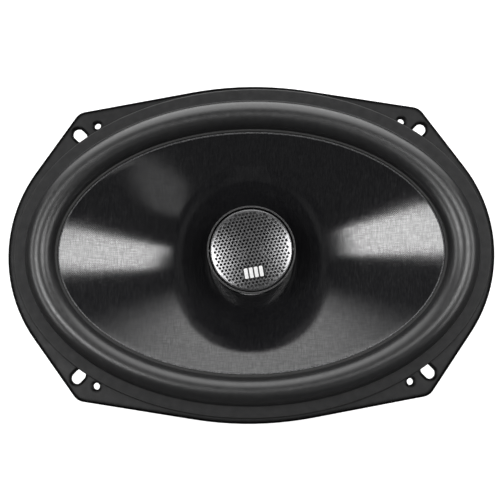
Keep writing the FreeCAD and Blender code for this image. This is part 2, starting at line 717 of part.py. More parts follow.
def tweeter_housing():
    """Cup on the post's neck, with a thin rim and a round seat for the tilting capsule."""
    blank = turned("housing_turning", [
        ("Dim.boss_bore", "Dim.boss_low"), ("Dim.boss_radius", "Dim.boss_low"),
        ("Dim.boss_radius", "Dim.boss_top"), ("Dim.skirt_foot_radius", "Dim.skirt_foot"),
        ("Dim.skirt_knee_radius", "Dim.skirt_knee"), ("Dim.skirt_neck_radius", "Dim.skirt_neck"),
        ("Dim.ring_radius", "Dim.skirt_top"), ("Dim.ring_radius", "Dim.ring_top"),
        ("Dim.boss_bore", "Dim.ring_top"),
    ])
    seat = sphere_zone("housing_seat", "Dim.ring_bore", "Dim.housing_floor", "Dim.pivot_height + 1")
    mouth = cylinder("housing_mouth", "Dim.ring_bore", "Dim.pivot_height", "Dim.ring_top + 1")
    pins = pin_tools("housing_pin", "Dim.pin_radius", "Dim.ring_bore - 1", "Dim.ring_radius + 1")
    return cut("tweeter_housing", blank, seat, mouth, *pins)


def trunnion_pins():
    solids = []
    for side in (-1, 1):
        start = FreeCAD.Vector(side * dim("pin_inner"), 0, dim("pivot_height"))
        solids.append(Part.makeCylinder(
            dim("pin_radius"), dim("pin_outer") - dim("pin_inner"), start, FreeCAD.Vector(side, 0, 0)))
    return several("trunnion_pins", solids)


def tweeter_capsule():
    """Ball-sided cup that carries the tweeter and tilts on two pins."""
    ball = sphere_zone("capsule_ball", "Dim.capsule_sphere", "Dim.capsule_low", "Dim.capsule_face")
    hollow = cylinder("capsule_hollow", "Dim.capsule_bore", "Dim.capsule_floor", "Dim.capsule_face + 1")
    pins = pin_tools("capsule_pin", "Dim.pin_hole", "Dim.capsule_bore - 1", "Dim.capsule_sphere + 1")
    return cut("tweeter_capsule", ball, hollow, *pins)


def dome_curve(radius, foot, rise):
    """The sphere that a shallow dome of this width and rise belongs to, as centre height and radius."""
    size = (radius * radius + rise * rise) / (2 * rise)
    return foot + rise - size, size


def cap_solid(radius, foot, rise):
    """The solid under a shallow dome."""
    centre, size = dome_curve(radius, foot, rise)
    ball = Part.makeSphere(size, FreeCAD.Vector(0, 0, centre))
    return ball.common(Part.makeCylinder(radius, 2 * rise, FreeCAD.Vector(0, 0, foot)))


def mesh_grille():
    """Shallow domed steel disc with a skirt that rests on the capsule's face."""
    radius, edge, sheet_thickness = dim("mesh_radius"), dim("mesh_edge"), dim("mesh_sheet")
    rise = dim("mesh_crown") - edge
    centre, size = dome_curve(radius, edge, rise)
    face = dim("capsule_face")
    ball = Part.makeSphere(size, FreeCAD.Vector(0, 0, centre))
    under = Part.makeSphere(size - sheet_thickness, FreeCAD.Vector(0, 0, centre))
    disc = Part.makeCylinder(radius, 2 * rise + edge - face, FreeCAD.Vector(0, 0, face))
    core = Part.makeCylinder(radius - dim("mesh_skirt"), 4 * rise, FreeCAD.Vector(0, 0, face - 1))
    return computed("mesh_grille", disc.common(ball).cut(core.common(under)))


def badge():
    """Plain rounded plate on the grille, low on the face and turned a little."""
    half_long, half_wide = dim("badge_length") / 2, dim("badge_width") / 2
    across, down = dim("badge_across"), dim("badge_down")
    centre, size = dome_curve(
        dim("mesh_radius"), dim("mesh_edge"), dim("mesh_crown") - dim("mesh_edge"))
    points = [
        FreeCAD.Vector(-half_long, -half_wide, 0), FreeCAD.Vector(half_long, -half_wide, 0),
        FreeCAD.Vector(half_long, half_wide, 0), FreeCAD.Vector(-half_long, half_wide, 0),
    ]
    tall = 2 * (dim("mesh_crown") - dim("mesh_edge"))
    plate = rounded_prism(points, FreeCAD.Vector(0, 0, tall), dim("badge_corner"))
    plate.rotate(FreeCAD.Vector(0, 0, 0), FreeCAD.Vector(0, 0, 1), dim("badge_turn"))
    plate.translate(FreeCAD.Vector(across, -down, dim("mesh_edge")))
    outer = Part.makeSphere(size + dim("badge_sheet"), FreeCAD.Vector(0, 0, centre))
    inner = Part.makeSphere(size, FreeCAD.Vector(0, 0, centre))
    return computed("badge", plate.common(outer).cut(inner))


def tweeter_dome():
    """Thin domed diaphragm."""
    radius, foot, sheet_thickness = dim("dome_radius"), dim("dome_foot"), dim("dome_sheet")
    shell = cap_solid(radius, foot, dim("dome_rise"))
    under = cap_solid(radius - sheet_thickness, foot, dim("dome_rise") - sheet_thickness)
    return computed("tweeter_dome", shell.cut(under))


def dome_surround():
    """Small half-roll from the diaphragm's edge to the ring round it."""
    inner, outer = dim("dome_radius") + 0.1, dim("dome_frame_inner")
    middle, foot, thickness = (inner + outer) / 2, dim("dome_frame_top"), dim("dome_sheet")
    radius = (outer - inner) / 2
    arcs = []
    for size in (radius, radius - thickness):
        points = [
            FreeCAD.Vector(middle - size, 0, foot), FreeCAD.Vector(middle, 0, foot + size),
            FreeCAD.Vector(middle + size, 0, foot),
        ]
        arcs.append(Part.Arc(*points).toShape())
    edges = arcs + [
        Part.LineSegment(
            FreeCAD.Vector(middle - radius, 0, foot), FreeCAD.Vector(middle - radius + thickness, 0, foot)
        ).toShape(),
        Part.LineSegment(
            FreeCAD.Vector(middle + radius - thickness, 0, foot), FreeCAD.Vector(middle + radius, 0, foot)
        ).toShape(),
    ]
    face = Part.Face(Part.Wire(Part.__sortEdges__(edges)))
    roll = face.revolve(FreeCAD.Vector(0, 0, 0), FreeCAD.Vector(0, 0, 1), 360)
    seat_outer = Part.makeCylinder(dim("dome_roll_outer"), thickness, FreeCAD.Vector(0, 0, foot))
    seat_inner = Part.makeCylinder(outer - thickness, thickness, FreeCAD.Vector(0, 0, foot))
    return computed("dome_surround", roll.fuse(seat_outer.cut(seat_inner)))


def tweeter_leads():
    """Two leads from the tweeter: down the post, along the rear groove and up to the terminal board."""
    board_low = dim("ledge_top") - dim("sheet") - dim("board_sheet")
    solids = []
    for side in (-1, 1):
        route = [
            (0, dim("post_top") - 0.2), (0, dim("lead_run")),
            (dim("lead_back"), dim("lead_run")), (dim("lead_back"), board_low - 0.1),
        ]
        points = [FreeCAD.Vector(side * dim("lead_apart"), y, z) for y, z in route]
        solids.append(routed_lead(points, [dim("lead_bend"), dim("lead_bend")], dim("lead_radius")))
    return several("tweeter_leads", solids)


def capsule_pigtails():
    """Two short flexible ends from the post's mouth to the capsule's rear."""
    solids = []
    for side in (-1, 1):
        route = [
            (dim("lead_apart"), dim("pigtail_foot")), (dim("lead_apart"), dim("pigtail_run")),
            (dim("pigtail_across"), dim("pigtail_run")), (dim("pigtail_across"), dim("pigtail_top")),
        ]
        points = [FreeCAD.Vector(side * x, 0, z) for x, z in route]
        bends = [dim("pigtail_bend"), dim("pigtail_bend")]
        solids.append(routed_lead(points, bends, dim("pigtail_radius")))
    return several("capsule_pigtails", solids)


# ---------------------------------------------------------------- terminals

BOARD_TOP = "Dim.ledge_top - Dim.sheet"
BOARD_LOW = BOARD_TOP + " - Dim.board_sheet"


def terminal_board():
    """Fibre board under the ledge, with four rivet holes."""
    plate = block(
        "board_blank", ("-Dim.board_half", "Dim.board_outer", BOARD_LOW),
        ("Dim.board_half", "Dim.board_inner", BOARD_TOP))
    holes = []
    for index, (side, y) in enumerate((s, y) for s in ("", "-") for y in ("tab_rivet", "board_rivet")):
        hole = cylinder("board_hole%d" % index, "Dim.small_rivet", BOARD_LOW + " - 1", BOARD_TOP + " + 1")
        hole.setExpression("Placement.Base.x", side + "Dim.tab_across")
        hole.setExpression("Placement.Base.y", "Dim." + y)
        holes.append(hole)
    return cut("terminal_board", plate, *holes)


def terminal_tab(name, side, width):
    """Flat blade on the board, pointing away from the basket."""
    centre = "%d * Dim.tab_across" % side
    blade = block(
        name + "_blade",
        (centre + " - %s / 2" % width, "Dim.tab_outer", BOARD_TOP),
        (centre + " + %s / 2" % width, "Dim.tab_inner", BOARD_TOP + " + Dim.tab_sheet"))
    hole = cylinder(name + "_hole", "Dim.small_rivet", BOARD_TOP + " - 1", BOARD_TOP + " + 2")
    hole.setExpression("Placement.Base.x", centre)
    hole.setExpression("Placement.Base.y", "Dim.tab_rivet")
    return cut(name, blade, hole)


def crossover_capacitor():
    """Round capacitor lying under the board."""
    can = doc.addObject("Part::Cylinder", "capacitor_can")
    can.setExpression("Radius", "Dim.capacitor_radius")
    can.setExpression("Height", "2 * Dim.capacitor_half")
    can.Placement = FreeCAD.Placement(
        FreeCAD.Vector(0, 0, 0), FreeCAD.Rotation(FreeCAD.Vector(0, 1, 0), 90))
    can.setExpression("Placement.Base.x", "-Dim.capacitor_half")
    can.setExpression("Placement.Base.y", "Dim.capacitor_back")
    can.setExpression("Placement.Base.z", BOARD_LOW + " - Dim.capacitor_gap - Dim.capacitor_radius")
    doc.recompute()
    rims = [
        index + 1 for index, edge in enumerate(can.Shape.Edges)
        if edge.Curve.TypeId == "Part::GeomCircle"
    ]
    rounded = doc.addObject("Part::Fillet", "crossover_capacitor")
    rounded.Base = can
    rounded.Edges = [(rim, dim("capacitor_edge"), dim("capacitor_edge")) for rim in rims]
    return rounded


def capacitor_leads():
    """Two wires from the capacitor's ends up to the board."""
    low = dim("ledge_top") - dim("sheet") - dim("board_sheet")
    axis = low - dim("capacitor_gap") - dim("capacitor_radius")
    out = dim("capacitor_half") + dim("capacitor_reach")
    solids = []
    for side in (-1, 1):
        route = [(dim("capacitor_half"), axis), (out, axis), (out, low)]
        points = [FreeCAD.Vector(side * x, dim("capacitor_back"), z) for x, z in route]
        solids.append(routed_lead(points, [dim("capacitor_bend")], dim("capacitor_wire")))
    return several("capacitor_leads", solids)


# ---------------------------------------------------------------- assembly

def build():
    ledge_low = dim("ledge_top") - dim("sheet")
    tab_top = ledge_low + dim("tab_sheet")
    board_low = ledge_low - dim("board_sheet")
    pieces = [
        basket(),
        mounting_gasket(),
        surround(),
        cone(),
        ring("voice_coil_former", "Dim.former_inner", "Dim.former_outer", "Dim.former_low", "Dim.former_top"),
        ring(
            "voice_coil_winding", "Dim.former_outer", "Dim.winding_outer",
            "Dim.winding_low", "Dim.winding_top"),
        ring(
            "dust_ring", "Dim.dust_hole", "Dim.dust_radius",
            "Dim.dust_low", "Dim.dust_low + Dim.dust_sheet"),
        lead_glue_dabs(),
        spider(),
        computed("tinsel_lead_left", tinsel_lead(-1)),
        computed("tinsel_lead_right", tinsel_lead(1)),
        top_plate(),
        ring("ferrite_magnet", "Dim.magnet_bore", "Dim.magnet_radius", "Dim.magnet_low", "Dim.plate_low"),
        t_yoke(),
        plate_rivets(),
        tweeter_post(),
        ring(
            "post_washer", "Dim.post_foot + 0.1", "Dim.washer_radius", "Dim.washer_low", "Dim.recess_top"),
        post_nut(),
        ring("post_clip", "Dim.post_neck", "Dim.clip_radius", "Dim.clip_low", "Dim.clip_top"),
        tweeter_leads(),
        tweeter_housing(),
        trunnion_pins(),
        capsule_pigtails(),
        tweeter_capsule(),
        turned("tweeter_cup", [
            ("0", "Dim.capsule_floor"), ("Dim.driver_cup_radius", "Dim.capsule_floor"),
            ("Dim.driver_cup_radius", "Dim.driver_cup_top"), ("Dim.driver_cup_bore", "Dim.driver_cup_top"),
            ("Dim.driver_cup_bore", "Dim.driver_cup_floor"), ("0", "Dim.driver_cup_floor"),
        ]),
        cylinder(
            "tweeter_magnet", "Dim.driver_magnet_radius", "Dim.driver_cup_floor", "Dim.driver_magnet_top"),
        cylinder(
            "tweeter_pole_plate", "Dim.driver_plate_radius", "Dim.driver_magnet_top", "Dim.driver_cup_top"),
        ring(
            "tweeter_coil", "Dim.driver_coil_inner", "Dim.driver_coil_outer",
            "Dim.driver_coil_low", "Dim.dome_foot"),
        tweeter_dome(),
        dome_surround(),
        ring(
            "dome_frame", "Dim.dome_frame_inner", "Dim.dome_frame_outer",
            "Dim.driver_cup_top", "Dim.dome_frame_top"),
        mesh_grille(),
        badge(),
        terminal_board(),
        terminal_tab("terminal_tab_wide", -1, "Dim.wide_tab"),
        terminal_tab("terminal_tab_narrow", 1, "Dim.narrow_tab"),
        small_rivets("tab_rivets", dim("tab_rivet"), tab_top, tab_top - board_low),
        small_rivets("board_rivets", dim("board_rivet"), dim("ledge_top"), dim("ledge_top") - board_low),
        crossover_capacitor(),
        capacitor_leads(),
    ]
    doc.recompute()
    return pieces


def check(pieces):
    """Stop unless every object recomputed and every sub-part is a sound solid."""
    for thing in doc.Objects:
        if "Invalid" in thing.State or "Error" in thing.State:
            raise RuntimeError("%s failed: %s" % (thing.Name, thing.State))
    for piece in pieces:
        shape = piece.Shape
        if shape.isNull() or not shape.isValid() or not shape.Solids or shape.Volume <= 0:
            raise RuntimeError("%s has no sound solid" % piece.Label)


def write(pieces):
    os.makedirs("parts", exist_ok=True)
    for piece in pieces:
        piece.Shape.exportStep("parts/%s.step" % piece.Label)
        box = piece.Shape.BoundBox
        print("%-22s solids %d  volume %9.1f  z %.2f to %.2f" % (
            piece.Label, len(piece.Shape.Solids), piece.Shape.Volume, box.ZMin, box.ZMax))


speaker = build()
check(speaker)
write(speaker)
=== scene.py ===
import math

import bmesh
import bpy
from mathutils import Matrix, Vector
from mathutils.geometry import delaunay_2d_cdt

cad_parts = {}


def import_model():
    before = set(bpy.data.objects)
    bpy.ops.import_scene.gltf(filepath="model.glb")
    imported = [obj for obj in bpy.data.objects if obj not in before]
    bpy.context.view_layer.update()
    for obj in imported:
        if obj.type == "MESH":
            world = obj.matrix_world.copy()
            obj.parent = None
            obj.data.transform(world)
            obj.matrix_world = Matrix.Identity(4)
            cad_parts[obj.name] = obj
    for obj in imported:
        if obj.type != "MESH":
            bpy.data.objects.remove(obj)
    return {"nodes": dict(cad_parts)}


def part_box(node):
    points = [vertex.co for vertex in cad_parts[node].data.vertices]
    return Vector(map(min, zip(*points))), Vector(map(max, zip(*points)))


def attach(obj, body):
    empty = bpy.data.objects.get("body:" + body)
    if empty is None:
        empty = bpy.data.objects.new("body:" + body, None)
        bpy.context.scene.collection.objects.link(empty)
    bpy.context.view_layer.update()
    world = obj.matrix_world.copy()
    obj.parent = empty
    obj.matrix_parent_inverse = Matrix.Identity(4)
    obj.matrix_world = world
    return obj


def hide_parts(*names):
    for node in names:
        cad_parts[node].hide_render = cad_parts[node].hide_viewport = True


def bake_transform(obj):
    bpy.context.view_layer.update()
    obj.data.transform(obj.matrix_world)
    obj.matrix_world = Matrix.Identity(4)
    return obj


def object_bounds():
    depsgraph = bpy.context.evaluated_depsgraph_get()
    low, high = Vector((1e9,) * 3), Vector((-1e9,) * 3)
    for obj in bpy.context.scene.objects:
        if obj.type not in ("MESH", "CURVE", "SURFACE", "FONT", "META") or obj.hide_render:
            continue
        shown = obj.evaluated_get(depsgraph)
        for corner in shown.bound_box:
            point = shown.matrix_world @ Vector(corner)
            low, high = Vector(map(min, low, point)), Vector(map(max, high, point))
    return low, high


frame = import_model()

CAD_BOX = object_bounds()
MM = 0.001
scene = bpy.context.scene
nodes = frame["nodes"]

# ---------------------------------------------------------------- sizes in millimetres

CONE_EDGE = (93.3, 58.8)
CONE_NECK = 19.3
CONE_LOW = -25.0
CONE_FLARE = 0.8
CONE_WALL = 0.7
CONE_RIM = 1.9
RIM_TOP = 3.4
COLLAR_IN, COLLAR_OUT, COLLAR_LOW = 19.25, 19.9, -28.0
ROLL_IN = (94.6, 60.0)
ROLL_OUT = (109.3, 73.8)
ROLL_HEIGHT = 7.3
RUBBER_EDGE = (115.0, 79.8)
RUBBER_SHIFT = (0.6, 0.35)
RUBBER_TURN = math.radians(0.4)
RUBBER_LOW, RUBBER_TOP = 2.7, 4.2
RUBBER_SHEET = 0.8
LIP_STOP, RIM_START, EDGE_START = -0.1, 1.02, 1.85
SPIDER_IN, SPIDER_OUT, SPIDER_REST = 19.25, 47.6, -37.0
WAVE_START, WAVE_PITCH, WAVE_COUNT, WAVE_HEIGHT = 22.0, 4.2, 5, 1.3
SPIDER_SHEET = 0.5
MESH_RADIUS, MESH_EDGE, MESH_CROWN, MESH_SHEET = 19.3, 10.9, 12.2, 0.6
MESH_FOOT = 10.2
HOLE_PITCH, HOLE_RADIUS = 1.8, 0.6
BADGE_AT, BADGE_SIZE, BADGE_TURN = (1.0, -10.9), (10.6, 6.0), math.radians(9.0)
LEAD_ROUTE_Y, LEAD_FOOT, LEAD_RUN, LEAD_TOP = (-59.5, -34.0), -37.4, -26.0, -14.6
LEAD_X, LEAD_RADIUS = 10.0, 0.7
DAB_RADIUS, DAB_DEPTH = 2.1, 2.6
GASKET_ROUND = 0.3
DUST_BORE, DUST_CROWN = 8.0, 0.25
DOME_EDGE, ROLL_EDGE, ROLL_RIM, ROLL_FOOT, ROLL_WALL = 10.5, 13.0, 14.8, 7.2, 0.2
PIGTAIL_RADIUS = 0.35
FLOOR_GAP, FLOOR_REACH = 0.4, 3000.0

OVAL_STEPS = 420


# ---------------------------------------------------------------- meshes

def new_mesh(name, points, faces, smooth=True):
    """A mesh object from points in millimetres."""
    mesh = bpy.data.meshes.new(name)
    mesh.from_pydata([Vector(p) * MM for p in points], [], faces)
    mesh.validate()
    piece = bpy.data.objects.new(name, mesh)
    scene.collection.objects.link(piece)
    bm = bmesh.new()
    bm.from_mesh(mesh)
    bmesh.ops.recalc_face_normals(bm, faces=bm.faces)
    bm.to_mesh(mesh)
    bm.free()
    if smooth:
        mesh.shade_smooth()
        mesh.set_sharp_from_angle(angle=math.radians(50))
    return piece


def swept_ring(name, section, place, steps):
    """A closed ring: the section's points are placed round the axis by place(point, angle)."""
    points = []
    for step in range(steps):
        angle = 2 * math.pi * step / steps
        points.extend(place(point, angle) for point in section)
    count = len(section)
    faces = []
    for step in range(steps):
        here, there = step * count, (step + 1) % steps * count
        for index in range(count):
            after = (index + 1) % count
            faces.append((here + index, here + after, there + after, there + index))
    return new_mesh(name, points, faces)


def round_place(point, angle):
    radius, height = point
    return radius * math.cos(angle), radius * math.sin(angle), height


def rail(points, radius_of, sides, name):
    """A tube along a smooth line: radius_of(share, turn) gives its lobed section."""
    curve = bpy.data.curves.new(name + "_line", "CURVE")
    curve.dimensions = "3D"
    spline = curve.splines.new("NURBS")
    spline.points.add(len(points) - 1)
    for slot, point in zip(spline.points, points):
        slot.co = (*(Vector(point) * MM), 1.0)
    spline.order_u = 3
    spline.use_endpoint_u = True
    spline.resolution_u = 24
    holder = bpy.data.objects.new(name + "_line", curve)
    scene.collection.objects.link(holder)
    line = [v.co / MM for v in bpy.data.meshes.new_from_object(holder).vertices]
    bpy.data.objects.remove(holder)
    rings, side = [], Vector((1, 0, 0))
    for index, point in enumerate(line):
        ahead = (line[min(index + 1, len(line) - 1)] - line[max(index - 1, 0)]).normalized()
        side = (side - ahead * side.dot(ahead)).normalized()
        other = ahead.cross(side)
        share = index / (len(line) - 1)
        rings.append([
            point + (side * math.cos(a) + other * math.sin(a)) * radius_of(share, a)
            for a in (2 * math.pi * k / sides for k in range(sides))
        ])
    vertices = [tuple(p) for ring in rings for p in ring]
    faces = []
    for row in range(len(rings) - 1):
        for k in range(sides):
            a, b = row * sides + k, row * sides + (k + 1) % sides
            faces.append((a, b, b + sides, a + sides))
    faces.append(tuple(range(sides)))
    faces.append(tuple(range(len(vertices) - sides, len(vertices))))
    return new_mesh(name, vertices, faces)


def weigh(piece, share_of):
    """Work out how far each point of a blended piece would follow its second body, from 0 to 1; the
    share is not stored.
    """
    for vertex in piece.data.vertices:
        share = min(max(share_of(vertex.co / MM), 0.0), 1.0)


# ---------------------------------------------------------------- materials

class Finish:
    """A Principled material with its colour, roughness and relief made from textures."""

    def __init__(self, name, colour, rough, metal=0.0, **sockets):
        self.material = bpy.data.materials.new(name)
        self.material.use_nodes = True
        self.tree = self.material.node_tree
        self.shader = self.tree.nodes["Principled BSDF"]
        self.colour, self.rough = colour, rough
        self.put("Base Color", (*colour, 1.0))
        self.put("Roughness", rough)
        self.put("Metallic", metal)
        for socket, value in sockets.items():
            self.put(socket.replace("_", " "), value)
        self.place = self.node("TexCoord").outputs["Object"]
        self.relief = None

    def node(self, kind, **inputs):
        made = self.tree.nodes.new("ShaderNode" + kind)
        for name, value in inputs.items():
            self.feed(made.inputs[name], value)
        return made

    def feed(self, socket, value):
        if isinstance(value, bpy.types.NodeSocket):
            self.tree.links.new(value, socket)
        else:
            socket.default_value = value

    def put(self, name, value):
        self.feed(self.shader.inputs[name], value)

    def stretched(self, scale):
        """The place on the piece, stretched by a different scale along each axis."""
        mapping = self.node("Mapping", Vector=self.place)
        mapping.inputs["Scale"].default_value = scale
        return mapping.outputs["Vector"]

    def noise(self, scale, detail=3.0, stretch=None):
        place = self.stretched(stretch) if stretch else self.place
        return self.node("TexNoise", Vector=place, Scale=scale, Detail=detail).outputs["Fac"]

    def axis(self, name):
        return self.node("SeparateXYZ", Vector=self.place).outputs[name]

    def maths(self, kind, first, second=0.0, third=0.0):
        made = self.tree.nodes.new("ShaderNodeMath")
        made.operation = kind
        for index, value in enumerate((first, second, third)):
            self.feed(made.inputs[index], value)
        return made.outputs[0]

    def ranged(self, value, low, high, first=0.0, second=1.0):
        made = self.node("MapRange", Value=value)
        limits = {"From Min": low, "From Max": high, "To Min": first, "To Max": second}
        for name, number in limits.items():
            made.inputs[name].default_value = number
        return made.outputs["Result"]

    def blend(self, share, first, second):
        made = self.node("Mix")
        made.data_type = "RGBA"
        self.feed(made.inputs["Factor"], share)
        for index, colour in ((6, first), (7, second)):
            from_node = isinstance(colour, bpy.types.NodeSocket)
            self.feed(made.inputs[index], colour if from_node else (*colour, 1.0))
        return made.outputs[2]

    def tint(self, scale, other, low=0.35, high=0.7, detail=4.0, stretch=None):
        """Let the colour drift towards another one."""
        share = self.ranged(self.noise(scale, detail, stretch), low, high)
        self.put("Base Color", self.blend(share, self.colour, other))
        return self

    def vary(self, scale, spread, detail=3.0, stretch=None):
        """Let the roughness drift either way."""
        rough = self.ranged(
            self.noise(scale, detail, stretch), 0.3, 0.7,
            max(self.rough - spread, 0.02), min(self.rough + spread, 1.0))
        self.put("Roughness", rough)
        return self

    def bump(self, height, depth, strength=1.0):
        """Add relief of a depth in millimetres."""
        made = self.node("Bump", Height=height, Strength=strength, Distance=depth * MM)
        if self.relief is not None:
            self.feed(made.inputs["Normal"], self.relief)
        self.relief = made.outputs["Normal"]
        self.put("Normal", self.relief)
        return self

    def grain(self, scale, depth, detail=4.0, stretch=None):
        return self.bump(self.noise(scale, detail, stretch), depth)

    def radius(self):
        flat = self.node("VectorMath", Vector=self.place)
        flat.operation = "MULTIPLY"
        flat.inputs[1].default_value = (1.0, 1.0, 0.0)
        length = self.tree.nodes.new("ShaderNodeVectorMath")
        length.operation = "LENGTH"
        self.feed(length.inputs[0], flat.outputs[0])
        return length.outputs["Value"]

    def wave(self, value, pitch):
        """A smooth wave of a pitch in millimetres along a length in metres."""
        return self.maths("SINE", self.maths("MULTIPLY", value, 2 * math.pi / (pitch * MM)))

    def weave(self, pitch, depth):
        """Plain weave: threads along X and Y pass over each other in turn."""
        across, along = self.wave(self.axis("X"), 2 * pitch), self.wave(self.axis("Y"), 2 * pitch)
        over = self.maths("MULTIPLY", across, along)
        rib_x = self.maths("ABSOLUTE", self.wave(self.axis("X"), 2 * pitch))
        rib_y = self.maths("ABSOLUTE", self.wave(self.axis("Y"), 2 * pitch))
        ribs = self.maths("MULTIPLY_ADD", over, 0.5, self.maths("MULTIPLY", rib_x, rib_y))
        self.bump(ribs, depth)
        return over


def cast_finish(name, colour, other, rough, metal, grain=(2500.0, 0.02), **sockets):
    """A painted, moulded or plated surface with fine grain and slow changes of colour and gloss."""
    finish = Finish(name, colour, rough, metal, **sockets)
    finish.tint(260.0, other).vary(420.0, 0.06)
    return finish.grain(*grain)


def turned_finish(name, colour, other, rough):
    """Plated steel with the fine rings that turning leaves."""
    finish = Finish(name, colour, rough, 1.0)
    finish.tint(90.0, other, 0.3, 0.75).vary(900.0, 0.08)
    finish.bump(finish.wave(finish.radius(), 0.45), 0.006)
    return finish.grain(3200.0, 0.01)


powder_colours = (0.02, 0.02, 0.0205), (0.027, 0.027, 0.0275)
powder = cast_finish("powder_coat", *powder_colours, 0.4, 0.0, (2600.0, 0.03))
powder.bump(powder.noise(900.0, 2.0), 0.02)
powder_drift = powder.ranged(powder.noise(260.0, 4.0), 0.35, 0.7)
# Painted shade: the flange's edges are painted near black and less glossy than its faces, down to a
# little below its top.
powder_shade_bevel = powder.node("Bevel", Radius=2.4 * MM)
powder_shade_bevel.samples = 8
powder_up = powder.node("SeparateXYZ", Vector=powder_shade_bevel.outputs["Normal"]).outputs["Z"]
powder_flat = powder.ranged(powder_up, 0.99, 0.9995)
powder_below = powder.ranged(powder.axis("Z"), 0.0, -2 * MM)
powder_face_unshaded = powder.maths("MAXIMUM", powder_flat, powder_below)
powder_plain = powder.blend(powder_drift, *powder_colours)
# The edges get the near-black painted shade; the faces keep the plain powder colour.
powder.put("Base Color", powder.blend(powder_face_unshaded, (0.001, 0.001, 0.001), powder_plain))
powder.put("Specular IOR Level", powder.ranged(powder_face_unshaded, 0.0, 1.0, 0.02, 0.16))

rubber = Finish("surround_rubber", (0.012, 0.012, 0.0125), 0.33, 0.0, Specular_IOR_Level=0.8)
rubber.tint(300.0, (0.016, 0.016, 0.0165)).vary(500.0, 0.04)
rubber.grain(1500.0, 0.02).grain(5200.0, 0.015)

# Painted shade: a darker copy of the rubber for the lip in the valley by the cone's edge and for the
# flange's outer wall.
rubber_painted_shade = cast_finish(
    "surround_painted_shade", (0.006, 0.006, 0.006), (0.01, 0.01, 0.01), 0.5, 0.0, (2600.0, 0.03))

# Painted light: a lighter, less glossy copy of the rubber for the flat flange, which is the same
# rubber as the roll.
rubber_painted_light = cast_finish(
    "surround_painted_light", (0.022, 0.022, 0.0225), (0.03, 0.03, 0.0305), 0.5, 0.0, (2200.0, 0.03),
    Specular_IOR_Level=0.15)

foam = Finish("gasket_foam", (0.018, 0.018, 0.019), 0.95)
foam.tint(1600.0, (0.05, 0.05, 0.052), 0.45, 0.62)
foam.grain(1900.0, 0.35, 6.0)

cone_cloth = Finish("cone_weave", (0.012, 0.012, 0.013), 0.2, 0.0, Specular_IOR_Level=0.8)
cone_cloth.weave(0.52, 0.004)
streaks = cone_cloth.noise(1.0, 3.0, (1900.0, 170.0, 170.0))
dashes = cone_cloth.noise(1.0, 2.0, (1500.0, 500.0, 500.0))
mottle = cone_cloth.maths("MULTIPLY", streaks, dashes)
cone_cloth.put("Base Color", cone_cloth.blend(
    cone_cloth.ranged(mottle, 0.14, 0.42), (0.008, 0.008, 0.009), (0.016, 0.016, 0.017)))
cone_cloth.put("Roughness", cone_cloth.ranged(mottle, 0.12, 0.42, 0.07, 0.14))
cone_cloth.bump(streaks, 0.006)
threads_up = cone_cloth.noise(1.0, 3.0, (3300.0, 230.0, 230.0))
threads_across = cone_cloth.noise(1.0, 3.0, (230.0, 3300.0, 230.0))
threads = cone_cloth.maths("MULTIPLY", threads_up, threads_across)
cone_cloth.put("Specular IOR Level", cone_cloth.ranged(threads, 0.16, 0.36, 0.55, 0.88))

cut_edge = Finish("cone_cut_edge", (0.16, 0.16, 0.165), 0.6)
cut_edge.tint(2300.0, (0.02, 0.02, 0.02), 0.42, 0.58)
cut_edge.grain(2600.0, 0.08)

aluminium = Finish("former_foil", (0.78, 0.78, 0.79), 0.38, 1.0)
aluminium.tint(200.0, (0.68, 0.68, 0.69)).vary(300.0, 0.04)
aluminium.bump(aluminium.wave(aluminium.axis("Z"), 0.6), 0.003)

copper = Finish("copper_winding", (0.62, 0.24, 0.09), 0.28, 1.0, Coat_Weight=0.5)
copper.tint(400.0, (0.42, 0.14, 0.05)).bump(copper.wave(copper.axis("Z"), 0.32), 0.08)

spider_cloth = Finish("spider_cloth", (0.42, 0.27, 0.10), 0.75, 0.0, Sheen_Weight=0.25)
spider_threads = spider_cloth.weave(0.6, 0.1)
spider_cloth.put("Base Color", spider_cloth.blend(
    spider_cloth.ranged(spider_threads, -0.8, 0.8), (0.30, 0.18, 0.06), (0.52, 0.36, 0.15)))

dust_cloth = Finish("dust_cloth", (0.03, 0.03, 0.03), 0.85, 0.0, Sheen_Weight=0.3)
dust_threads = dust_cloth.weave(0.4, 0.08)
dust_cloth.put("Base Color", dust_cloth.blend(
    dust_cloth.ranged(dust_threads, -0.8, 0.8), (0.012, 0.012, 0.012), (0.05, 0.05, 0.05)))

glue = Finish("glue", (0.02, 0.019, 0.017), 0.18, 0.0, Coat_Weight=0.4)
glue.tint(500.0, (0.05, 0.045, 0.035)).grain(700.0, 0.12)

tinsel = Finish("tinsel_braid", (0.66, 0.42, 0.25), 0.38, 0.8)
tinsel.tint(1800.0, (0.35, 0.22, 0.13), 0.4, 0.6).grain(3500.0, 0.05)

zinc = turned_finish("zinc_plate", (0.66, 0.66, 0.63), (0.52, 0.54, 0.55), 0.34)
ferrite = cast_finish(
    "ferrite", (0.045, 0.045, 0.05), (0.075, 0.073, 0.072), 0.62, 0.0, (1400.0, 0.12))
ferrite.bump(ferrite.noise(260.0, 5.0), 0.25)
rivet_steel = cast_finish(
    "rivet_steel", (0.62, 0.62, 0.61), (0.45, 0.45, 0.46), 0.33, 1.0, (2400.0, 0.02))
post_steel = turned_finish("post_steel", (0.58, 0.58, 0.57), (0.45, 0.45, 0.46), 0.3)
clip_steel = turned_finish("clip_steel", (0.4, 0.4, 0.41), (0.3, 0.3, 0.31), 0.28)
wire_skin = cast_finish(
    "wire_insulation", (0.02, 0.02, 0.022), (0.045, 0.045, 0.05), 0.36, 0.0, (1800.0, 0.03))

board = Finish("phenolic_board", (0.27, 0.15, 0.065), 0.55, 0.0, Coat_Weight=0.15)
board.tint(1.0, (0.17, 0.09, 0.04), 0.35, 0.65, 5.0, (900.0, 120.0, 2600.0))
board.grain(2300.0, 0.04)

